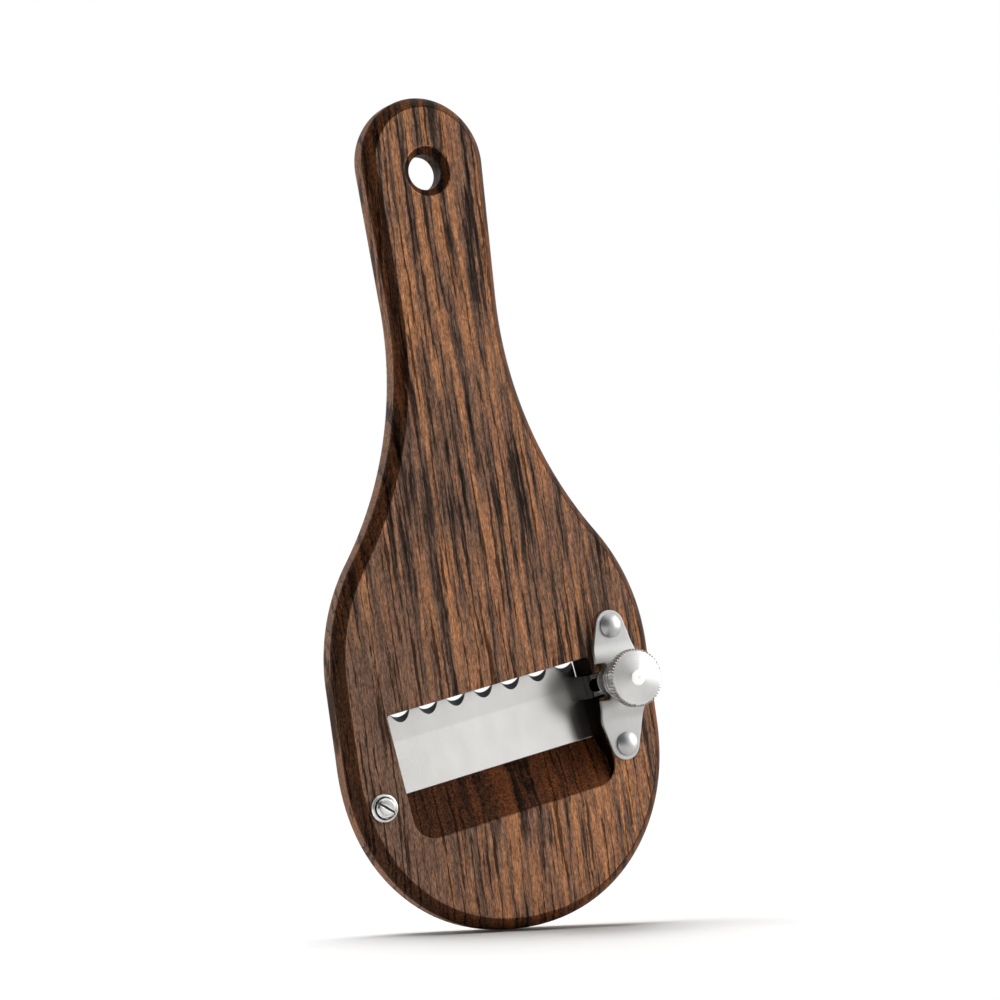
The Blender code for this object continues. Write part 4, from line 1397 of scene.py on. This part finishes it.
@dataclass
class Pivot:
    """The slotted screw at the blade's left end, its cup washer and its nut on the back."""

    shank_radius: float = 1.7 * MM
    head_chamfer: float = 0.25 * MM
    slot_width: float = 0.65 * MM
    slot_depth: float = 0.75 * MM
    slot_angle: float = math.radians(-37.0)
    cup_rim: float = 0.3 * MM
    cup_slope: float = 0.35 * MM
    cup_brim: float = 0.25 * MM
    nut_edge: float = 0.25 * MM
    softness: float = 0.1 * MM

    def screw(self, steel: Finish, dark: Finish) -> None:
        """The screw, with its slot, near-black inside as painted shade, and its softly domed head.

        Args:
            steel: Finish of the piece.
            dark: Finish of the slot's faces: near-black steel, a painted shade.
        """
        head = Seat.of("pivot_screw")
        cup = Seat.of("screw_cup")
        soft = self.softness
        seat = cup.top
        neck = seat - (head.radius - self.shank_radius)
        profile = softened(
            [
                (0, head.top, 0),
                (head.radius - self.head_chamfer * 2, head.top - soft / 2, soft),
                (head.radius, head.top - self.head_chamfer * 2, self.head_chamfer),
                (head.radius, seat, soft),
                (self.shank_radius, neck, soft),
                (self.shank_radius, head.foot + soft, soft),
                (self.shank_radius - soft, head.foot, 0),
                (0, head.foot, 0),
            ]
        )
        piece = dressed(turned("slotted_pivot_screw", profile, head.place()), steel)
        turn = Matrix.Rotation(self.slot_angle, 4, "Z")
        low = (-cup.radius, -self.slot_width / 2, head.top - self.slot_depth)
        high = (cup.radius, self.slot_width / 2, head.top + OVERRUN)
        # The slot's faces get the near-black painted shade.
        combine(piece, dressed(block("slot", low, high, head.place() @ turn), dark), Cut.REMOVE)
        round_edges(piece, self.softness / 2, 2, lambda edge: is_sharp(edge) and edge.verts[0].co.y < FRONT)
        finish_piece(piece, "pivot_screw", Body.PADDLE, Slot.TURNED)

    def cup(self, steel: Finish) -> None:
        """The cup washer that the screw's head sits in.

        Args:
            steel: Finish of the piece.
        """
        seat = Seat.of("screw_cup")
        inner = seat.radius - self.cup_rim - self.cup_slope
        height = seat.top - seat.foot
        soft = self.softness
        section = [
            (inner, seat.top, soft),
            (seat.radius - self.cup_slope, seat.top, soft * 1.4),
            (seat.radius, seat.foot + self.cup_brim, soft),
            (seat.radius, seat.foot, soft / 2),
            (inner - height, seat.foot, soft / 2),
        ]
        ring("cup_washer", "screw_cup", section, steel, (Body.PADDLE, Slot.TURNED))

    def nut(self, steel: Finish) -> None:
        """The round nut on the back face.

        Args:
            steel: Finish of the piece.
        """
        seat = Seat.of("pivot_nut")
        bore = self.shank_radius + CLEARANCE
        soft = self.softness
        section = [
            (bore, seat.top, soft),
            (seat.radius, seat.top, soft),
            (seat.radius, seat.foot + self.nut_edge, self.nut_edge / 2),
            (seat.radius - self.nut_edge, seat.foot, self.nut_edge / 2),
            (bore, seat.foot, soft),
        ]
        ring("round_nut", "pivot_nut", section, steel, (Body.PADDLE, Slot.TURNED))

    def build(self) -> None:
        """Builds the three pieces."""
        place = Seat.of("screw_cup").place()
        steel = TurnedSteel("pivot_turned", place, colour=(0.78, 0.775, 0.76), roughness=0.24).make()
        # Near-black steel as painted shade in the screw's slot.
        dark = TurnedSteel("slot_painted_shade", place, colour=(0.17, 0.168, 0.165), roughness=0.45).make()
        self.cup(steel)
        self.screw(steel, dark)
        self.nut(steel)


@dataclass
class Bracket:
    """The riveted plate with a raised middle that the knob's stud screws through."""

    end_radius: float = 4.25 * MM
    upper_shift: float = 0.15 * MM
    lower_shift: float = 0.5 * MM
    left_reach: float = 9.0 * MM
    right_reach: float = 8.4 * MM
    side_radius: float = 4.0 * MM
    trim: float = 6.5 * MM
    thickness: float = 1.1 * MM
    raised: float = 0.7 * MM
    bend_above: float = 8.3 * MM
    bend_below: float = 8.6 * MM
    bend_run: float = 2.4 * MM
    notch_height: float = 9.8 * MM
    notch_depth: float = 3.5 * MM
    notch_radius: float = 1.0 * MM
    stud_hole_radius: float = 2.25 * MM
    rivet_hole_radius: float = 1.8 * MM
    shank_radius: float = 1.5 * MM
    dome_height: float = 1.35 * MM
    tail_radius: float = 2.3 * MM
    tail_height: float = 0.45 * MM
    edge_softness: float = 0.28 * MM
    burr_softness: float = 0.1 * MM
    bend_share: float = 0.8

    def path(self) -> list[Point]:
        """The plate's side, up and forward from the front face, with its four bends rounded.

        Returns:
            The points in order.
        """
        plate = Seat.of("bracket_plate")
        flat = plate.foot + self.thickness / 2
        raised = flat + self.raised
        knob = Seat.of("adjusting_knob")
        low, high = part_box("bracket_plate")
        upper = knob.z + self.bend_above
        lower = knob.z - self.bend_below
        half = self.bend_run / 2
        reach = half * self.bend_share
        corners = [
            (low.z - OVERRUN, flat, 0),
            (lower - half, flat, reach),
            (lower + half, raised, reach),
            (upper - half, raised, reach),
            (upper + half, flat, reach),
            (high.z + OVERRUN, flat, 0),
        ]
        return softened(corners, steps=8)

    def plate(self, steel: Finish) -> None:
        """The plate: a tapered outline cut from a bent strip, trimmed at the left and notched.

        Args:
            steel: Finish of the piece.
        """
        upper = Seat.of("upper_rivet")
        lower = Seat.of("lower_rivet")
        knob = Seat.of("adjusting_knob")
        left = self.side_radius - self.left_reach
        right = self.right_reach - self.side_radius
        middle = (upper.z + lower.z) / 2
        circles = [
            (-self.upper_shift, upper.z, self.end_radius),
            (-self.lower_shift, lower.z, self.end_radius),
            (right, middle, self.side_radius),
            (left, middle, self.side_radius),
        ]
        place = front_place(upper.x, 0)
        top = knob.foot
        piece = dressed(hull("bracket_plate_steel", circles, -OVERRUN, top + OVERRUN, place), steel)
        bent = strip("bent_strip", self.path(), 4 * self.left_reach, self.thickness, place @ UPRIGHT)
        combine(piece, dressed(bent, steel), Cut.KEEP)
        low = (-2 * self.left_reach, lower.z - self.left_reach, -2 * OVERRUN)
        high = (-self.trim, upper.z + self.left_reach, top + 2 * OVERRUN)
        trim = block("trim", low, high, place)
        half = self.notch_height / 2 - self.notch_radius
        inner = self.notch_depth - self.trim - self.notch_radius
        sides = (-self.trim - OVERRUN, inner)
        notches = [(x, knob.z + up, self.notch_radius) for x in sides for up in (-half, half)]
        notch = hull("notch", notches, -2 * OVERRUN, top + 2 * OVERRUN, place, 48)
        for cutter in [trim, notch] + self.drills(top):
            combine(piece, dressed(cutter, steel), Cut.REMOVE)
        round_edges(piece, self.edge_softness, 3, is_sharp)
        finish_piece(piece, "bracket_plate", Body.PADDLE, Slot.BRACKET)

    def drills(self, top: float) -> list[Piece]:
        """Drills for the stud's hole and the rivets' holes.

        Args:
            top: Level that the drills reach.

        Returns:
            The cutters.
        """
        place = Seat.of("knob_stud").place()
        made = [cylinder("stud_drill", self.stud_hole_radius, -OVERRUN, top, place, DRILL_STEPS)]
        for end in RIVET_ENDS:
            place = Seat.of(end + "_rivet").place()
            made.append(cylinder(end + "_drill", self.rivet_hole_radius, -OVERRUN, top, place, DRILL_STEPS))
        return made

    def rivet(self, end: str, steel: Finish) -> None:
        """A domed rivet whose tail is closed over its burr.

        Args:
            end: Which end of the bracket, upper or lower.
            steel: Finish of the piece.
        """
        seat = Seat.of(end + "_rivet")
        foot = seat.top - self.dome_height
        dome_radius = (seat.radius**2 + self.dome_height**2) / (2 * self.dome_height)
        centre = seat.top - dome_radius
        rim = math.asin((foot - centre) / dome_radius)
        dome = arc((0, centre), dome_radius, math.pi / 2, rim, 24)
        tail = seat.foot + self.tail_height
        profile = [(0, dome[0][1])] + dome[1:]
        profile += [(self.shank_radius, foot), (self.shank_radius, tail)]
        profile += softened(
            [
                (self.shank_radius, tail, 0),
                (self.tail_radius, tail, 0.08 * MM),
                (self.tail_radius, seat.foot + self.tail_height * 0.6, 0.08 * MM),
                (self.shank_radius, seat.foot, 0.2 * MM),
                (0, seat.foot, 0),
            ]
        )[1:]
        piece = dressed(turned(end + "_domed_rivet", profile, seat.place()), steel)
        finish_piece(piece, end + "_rivet", Body.PADDLE, Slot.BRACKET)

    def burr(self, end: str, steel: Finish) -> None:
        """The washer under a rivet's tail, sunk below the back face.

        Args:
            end: Which end of the bracket, upper or lower.
            steel: Finish of the piece.
        """
        node = end + "_rivet_burr"
        seat = Seat.of(node)
        bore = self.shank_radius + CLEARANCE
        soft = self.burr_softness
        section = [(bore, seat.top, 0), (seat.radius, seat.top, soft), (seat.radius, seat.foot, soft)]
        section.append((bore, seat.foot, 0))
        ring(end + "_burr_washer", node, section, steel, (Body.PADDLE, Slot.BRACKET), DRILL_STEPS)

    def build(self) -> None:
        """Builds the plate, its rivets and their burrs."""
        along = front_place(Seat.of("upper_rivet").x, 0) @ Matrix.Rotation(math.radians(-90.0), 4, "X")
        brushed = BrushedSteel("bracket_brushed", along, (0.48, 0.477, 0.467), 0.50).make()
        self.plate(brushed)
        for end in RIVET_ENDS:
            place = Seat.of(end + "_rivet").place()
            steel = TurnedSteel(end + "_rivet_steel", place, (0.52, 0.52, 0.52), 0.45).make()
            self.rivet(end, steel)
            self.burr(end, steel)


@dataclass
class Knob:
    """The knurled knob, its threaded stud and the washer that carries the fork."""

    collar_radius: float = 5.5 * MM
    collar_length: float = 6.0 * MM
    groove_depth: float = 0.45 * MM
    groove_width: float = 0.55 * MM
    groove_heights: tuple[float, float] = (0.95 * MM, 2.3 * MM)
    knurl_width: float = 2.5 * MM
    knurl_chamfer: float = 0.25 * MM
    tooth_depth: float = 0.45 * MM
    teeth: int = 54
    face_rise: float = 0.75 * MM
    tip_radius: float = 2.1 * MM
    tip_step: float = 0.12 * MM
    centre_dot_radius: float = 0.22 * MM
    centre_dot_depth: float = 0.2 * MM
    stud_radius: float = 1.95 * MM
    thread_pitch: float = 0.7 * MM
    thread_depth: float = 0.38 * MM
    thread_overlap: float = 0.05 * MM
    thread_steps: int = 40
    flank_share: float = 0.46
    crest_share: float = 0.06
    socket_depth: float = 5.5 * MM
    shoulder_radius: float = 2.9 * MM
    shoulder_thickness: float = 0.6 * MM
    neck_radius: float = 1.5 * MM
    flange_thickness: float = 0.9 * MM
    softness: float = 0.12 * MM

    def levels(self) -> tuple[Seat, float, float]:
        """The knob's seat, and the levels of the knurl's foot and top.

        Returns:
            The seat and the two levels.
        """
        seat = Seat.of("adjusting_knob")
        foot = seat.foot + self.collar_length
        return seat, foot, foot + self.knurl_width

    def core_profile(self) -> list[Point]:
        """The turned profile: tip, cone face, rim and grooved collar.

        Returns:
            The points in order.
        """
        seat, foot, top = self.levels()
        core = seat.radius - self.tooth_depth - self.knurl_chamfer / 2
        corners = [
            (0, seat.top - self.centre_dot_depth, 0),
            (self.centre_dot_radius, seat.top, 0.05 * MM),
            (self.tip_radius - self.tip_step, seat.top, self.tip_step / 2),
            (self.tip_radius, seat.top - self.tip_step, self.tip_step / 3),
            (core, top, self.softness),
            (core, foot, self.softness),
            (self.collar_radius, foot, self.softness),
        ]
        for height in reversed(self.groove_heights):
            upper = seat.foot + height + self.groove_width / 2
            lower = seat.foot + height - self.groove_width / 2
            inner = self.collar_radius - self.groove_depth
            corners += [(self.collar_radius, upper, self.softness), (inner, upper, 0)]
            corners += [(inner, lower, 0), (self.collar_radius, lower, self.softness)]
        corners += [(self.collar_radius, seat.foot, self.softness * 2), (0, seat.foot, 0)]
        return softened(corners)

    def knurl(self, steel: Finish) -> Piece:
        """The toothed rim: one tooth, spun round the axis, filled and drawn out with a chamfer.

        Args:
            steel: Finish of the piece.

        Returns:
            The closed solid.
        """
        seat, foot, top = self.levels()
        pitch = math.tau / self.teeth
        root = seat.radius - self.tooth_depth
        shares = [(-0.5, root), (-0.27, root), (-0.16, seat.radius), (0.16, seat.radius), (0.27, root)]
        turns = [(pitch * (i + share), radius) for i in range(self.teeth) for share, radius in shares]
        outline = [(radius * math.cos(turn), radius * math.sin(turn)) for turn, radius in turns]
        piece = dressed(slab("knurl", outline, foot, top, seat.place()), steel)
        ends = (FRONT - foot, FRONT - top)
        round_edges(piece, self.knurl_chamfer, 2, lambda edge: any(lies_level(edge, end) for end in ends))
        return piece

    def knob(self) -> None:
        """The knob with its socket for the stud, its face brighter at the faced tip."""
        seat, _, top = self.levels()
        place = seat.place()
        steel = TurnedSteel("knob_turned", place, (0.64, 0.635, 0.62), 0.40, 0.5, ring_width=0.22).make()
        tip = TurnedSteel("knob_tip", place, (0.86, 0.855, 0.84), 0.48).make()
        piece = dressed(turned("knurled_knob", self.core_profile(), place, 128), steel)
        combine(piece, self.knurl(steel), Cut.ADD, Solver.MANIFOLD)
        bore = self.stud_radius + CLEARANCE
        end = seat.foot + self.socket_depth
        socket = cylinder("socket", bore, seat.foot - OVERRUN, end, place, DRILL_STEPS)
        combine(piece, dressed(socket, steel), Cut.REMOVE, Solver.MANIFOLD)
        level = FRONT - seat.top + self.tip_step * 0.9
        paint(piece, tip, lambda face: face.center.y < level)
        finish_piece(piece, "adjusting_knob", Body.KNOB, Slot.TURNED)

    def thread(self, low: float, high: float, steel: Finish, place: Matrix) -> Piece:
        """Winds a helical ridge round the stud from low to high.

        Args:
            low: Level where the thread starts.
            high: Level where it ends.
            steel: Its finish.
            place: The stud's frame.

        Returns:
            The ridge as a closed solid.
        """
        root = self.stud_radius - self.thread_depth - self.thread_overlap
        half = self.thread_pitch * self.flank_share
        crest = self.thread_pitch * self.crest_share
        section = [(root, 0, low - half), (self.stud_radius, 0, low - crest)]
        section += [(self.stud_radius, 0, low + crest), (root, 0, low + half), section[0]]
        piece = draw_line("thread", section)
        bpy.ops.mesh.select_all(action="SELECT")
        bpy.ops.mesh.remove_doubles(threshold=WELD)
        bpy.ops.object.mode_set(mode="OBJECT")
        turns = round((high - low) / self.thread_pitch)
        settings = {"steps": self.thread_steps, "render_steps": self.thread_steps, "iterations": turns}
        modify(piece, "SCREW", screw_offset=self.thread_pitch, **settings)
        bpy.ops.object.mode_set(mode="EDIT")
        bpy.ops.mesh.select_all(action="DESELECT")
        bpy.ops.mesh.select_non_manifold()
        bpy.ops.mesh.fill()
        return dressed(settle(piece, place), steel)

    def stud(self, steel: Finish) -> None:
        """The stud: thread, shoulder over the washer, neck in the fork, flange on its end.

        Args:
            steel: Finish of the piece.
        """
        seat = Seat.of("knob_stud")
        washer = Seat.of("thrust_washer")
        shoulder_foot = washer.top + CLEARANCE
        shoulder_top = shoulder_foot + self.shoulder_thickness
        flange_top = seat.foot + self.flange_thickness
        root = self.stud_radius - self.thread_depth
        soft = self.softness
        profile = softened(
            [
                (0, seat.top, 0),
                (root, seat.top, soft),
                (root, shoulder_top, 0),
                (self.shoulder_radius, shoulder_top, soft),
                (self.shoulder_radius, shoulder_foot, soft),
                (self.neck_radius, shoulder_foot, 0),
                (self.neck_radius, flange_top, 0),
                (seat.radius, flange_top, soft),
                (seat.radius, seat.foot, soft * 2),
                (0, seat.foot, 0),
            ]
        )
        piece = dressed(turned("threaded_stud", profile, seat.place(), 80), steel)
        low = shoulder_top + self.thread_pitch
        ridge = self.thread(low, seat.top - self.thread_pitch, steel, seat.place())
        combine(piece, ridge, Cut.ADD)
        finish_piece(piece, "knob_stud", Body.KNOB, Slot.TURNED)

    def washer(self, steel: Finish) -> None:
        """The washer between the stud's shoulder and the fork.

        Args:
            steel: Finish of the piece.
        """
        seat = Seat.of("thrust_washer")
        bore = self.neck_radius + CLEARANCE
        section = [(bore, seat.top, 0), (seat.radius, seat.top, self.softness)]
        section += [(seat.radius, seat.foot, self.softness), (bore, seat.foot, 0)]
        ring("fork_washer", "thrust_washer", section, steel, (Body.WASHER, Slot.TURNED))

    def build(self) -> None:
        """Builds the knob, the stud and the washer."""
        steel = TurnedSteel("stud_turned", Seat.of("knob_stud").place(), roughness=0.24).make()
        washer = Seat.of("thrust_washer").place()
        # Painted light: the washer's steel is paler than the rest so that it reads bright where it sits in
        # shade.
        plated_painted_light = TurnedSteel("washer_plated_painted_light", washer, (0.88, 0.87, 0.85), 0.5).make()
        self.knob()
        self.stud(steel)
        self.washer(plated_painted_light)


@dataclass(frozen=True)
class Lamp:
    """A rectangular soft lamp aimed at the part.

    Its angles are degrees to the right of the front and above the level, and its radiance says how
    bright its surface looks.
    """

    name: str
    turn: float
    rise: float
    distance: float
    width: float
    height: float
    radiance: float
    reach: Reach = Reach.PART


LAMPS = (
    Lamp("panel_softbox", 45.0, 22.0, 1.1, 1.15, 1.25, 0.90),
    Lamp("key_softbox", 66.0, 14.0, 1.2, 0.7, 0.9, 6.4),
    Lamp("top_softbox", 45.0, 76.0, 1.2, 1.1, 0.9, 0.9),
    Lamp("rim_softbox", -150.0, 8.0, 1.1, 0.9, 1.3, 2.1),
    Lamp("floor_softbox", -170.0, 85.5, 1.2, 1.3, 0.42, 12.3, Reach.FLOOR),
)


@dataclass
class Studio:
    """Camera, floor, white surroundings and soft lamps."""

    camera_place: tuple[float, float, float] = (-0.38219, -0.75500, -0.12050)
    camera_right: tuple[float, float, float] = (0.87992, -0.45373, -0.14097)
    camera_up: tuple[float, float, float] = (0.10751, -0.09886, 0.98928)
    lens_mm: float = 115.2
    floor_size: float = 6.0
    floor_glow: float = 0.02
    shadow_reach: Point = (0.10, 0.28)
    world_strength: float = 0.04
    backdrop_strength: float = 1.0
    far_strength: float = 1.02
    floor_gap: float = 0.05 * MM
    lamps_aim: float = -0.13
    clip: Point = (0.01, 50.0)

    def camera(self) -> None:
        """The camera at the photograph's angle."""
        right = Vector(self.camera_right)
        up = Vector(self.camera_up)
        turn = Matrix((right, up, right.cross(up))).transposed().to_4x4()
        bpy.ops.object.select_all(action="DESELECT")
        bpy.ops.object.camera_add()
        camera = bpy.context.object
        camera.matrix_world = Matrix.Translation(self.camera_place) @ turn
        camera.data.lens = self.lens_mm
        camera.data.clip_start, camera.data.clip_end = self.clip
        bpy.context.scene.camera = camera

    def floor_frame(self) -> Matrix:
        """The floor's frame: level in the picture, and touching the board's base.

        Returns:
            The frame.
        """
        right = Vector(self.camera_right).normalized()
        up = Vector((0, 0, 1))
        normal = (up - right * up.dot(right)).normalized()
        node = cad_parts["wooden_body"]
        low = min(normal.dot(vertex.co) for vertex in node.data.vertices)
        turn = Matrix((right, normal.cross(right), normal)).transposed().to_4x4()
        return Matrix.Translation(normal * (low - self.floor_gap)) @ turn

    def floor(self) -> Piece:
        """The pale floor, which keeps the shadow and is seen from above only.

        Returns:
            The floor.
        """
        bpy.ops.object.select_all(action="DESELECT")
        bpy.ops.mesh.primitive_plane_add(size=self.floor_size)
        floor = bpy.context.object
        floor.name = "studio_floor"
        floor.matrix_world = self.floor_frame()
        recipe = Recipe(bpy.data.materials.new(floor.name))
        recipe.wire(Base_Color=(0.86, 0.855, 0.85, 1.0), Roughness=0.9, Specular_IOR_Level=0.1)
        path = recipe.add("ShaderNodeLightPath", {}, output=0)
        glow = recipe.add("ShaderNodeEmission", {"Strength": recipe.sum("MULTIPLY", path, self.floor_glow)})
        lit = recipe.add("ShaderNodeAddShader", {0: recipe.shader.outputs[0], 1: glow})
        place = recipe.add("ShaderNodeTexCoord", {}, output=3)
        away = recipe.range(recipe.length(place), *self.shadow_reach, 0.0, 1.0)
        far = recipe.sum("MULTIPLY", away, path)
        white = recipe.add("ShaderNodeEmission", {"Strength": self.far_strength})
        lit = recipe.add("ShaderNodeMixShader", {0: far, 1: lit, 2: white})
        clear = recipe.add("ShaderNodeBsdfTransparent", {})
        below = recipe.add("ShaderNodeNewGeometry", {}, output=6)
        shown = recipe.add("ShaderNodeMixShader", {0: below, 1: lit, 2: clear})
        recipe.feed(recipe.tree.nodes["Material Output"].inputs["Surface"], shown)
        return dressed(floor, recipe.owner)

    def world(self) -> None:
        """White for what the camera sees and behind the object, dim in front of it."""
        world = bpy.data.worlds.new("studio")
        bpy.context.scene.world = world
        recipe = Recipe(world, "Background")
        back = recipe.part(recipe.add("ShaderNodeTexCoord", {}, output=0), 1)
        behind = recipe.range(back, 0.35, 0.75, self.world_strength, self.backdrop_strength)
        rays = recipe.add("ShaderNodeLightPath", {}).node.outputs
        glossy = recipe.range(back, -0.3, 0.05, 0.0, 1.0)
        glossy = recipe.sum("MULTIPLY", rays["Is Glossy Ray"], glossy)
        seen = recipe.sum("MAXIMUM", rays["Is Camera Ray"], rays["Is Transmission Ray"])
        seen = recipe.sum("MAXIMUM", seen, glossy)
        recipe.wire(Strength=recipe.sum("MAXIMUM", seen, behind), Color=(1.0, 1.0, 1.0, 1.0))

    def softbox(self, lamp: Lamp, floor: Piece) -> None:
        """Stands a lamp up, and lets it shine on all but the floor, or on the floor only.

        Args:
            lamp: The lamp's values.
            floor: The floor, which takes the part's shadow from a lamp that shines on it.
        """
        turn, rise = math.radians(lamp.turn), math.radians(lamp.rise)
        out = math.cos(rise)
        towards = Vector((math.sin(turn) * out, -math.cos(turn) * out, math.sin(rise)))
        bpy.ops.object.select_all(action="DESELECT")
        bpy.ops.object.light_add(type="AREA")
        made = bpy.context.object
        made.name = lamp.name
        made.location = Vector((0, 0, self.lamps_aim)) + towards * lamp.distance
        made.rotation_euler = towards.to_track_quat("Z", "Y").to_euler()
        made.data.shape = "RECTANGLE"
        made.data.size = lamp.width
        made.data.size_y = lamp.height
        made.data.energy = lamp.radiance * math.pi * lamp.width * lamp.height
        made.visible_camera = False
        linked = bpy.data.collections.new(lamp.name + "_floor")
        linked.objects.link(floor)
        linked.collection_objects[0].light_linking.link_state = lamp.reach.value
        made.light_linking.receiver_collection = linked

    def build(self) -> None:
        """Sets up the studio."""
        self.camera()
        floor = self.floor()
        self.world()
        for lamp in LAMPS:
            self.softbox(lamp, floor)
        bpy.context.scene.view_settings.view_transform = "Standard"


def main() -> None:
    """Builds the sub-assemblies in order, then the studio."""
    blade = Blade()
    Paddle().build(blade)
    blade.build()
    Pivot().build()
    Bracket().build()
    Knob().build()
    Studio().build()


if __name__ == "__main__":
    main()
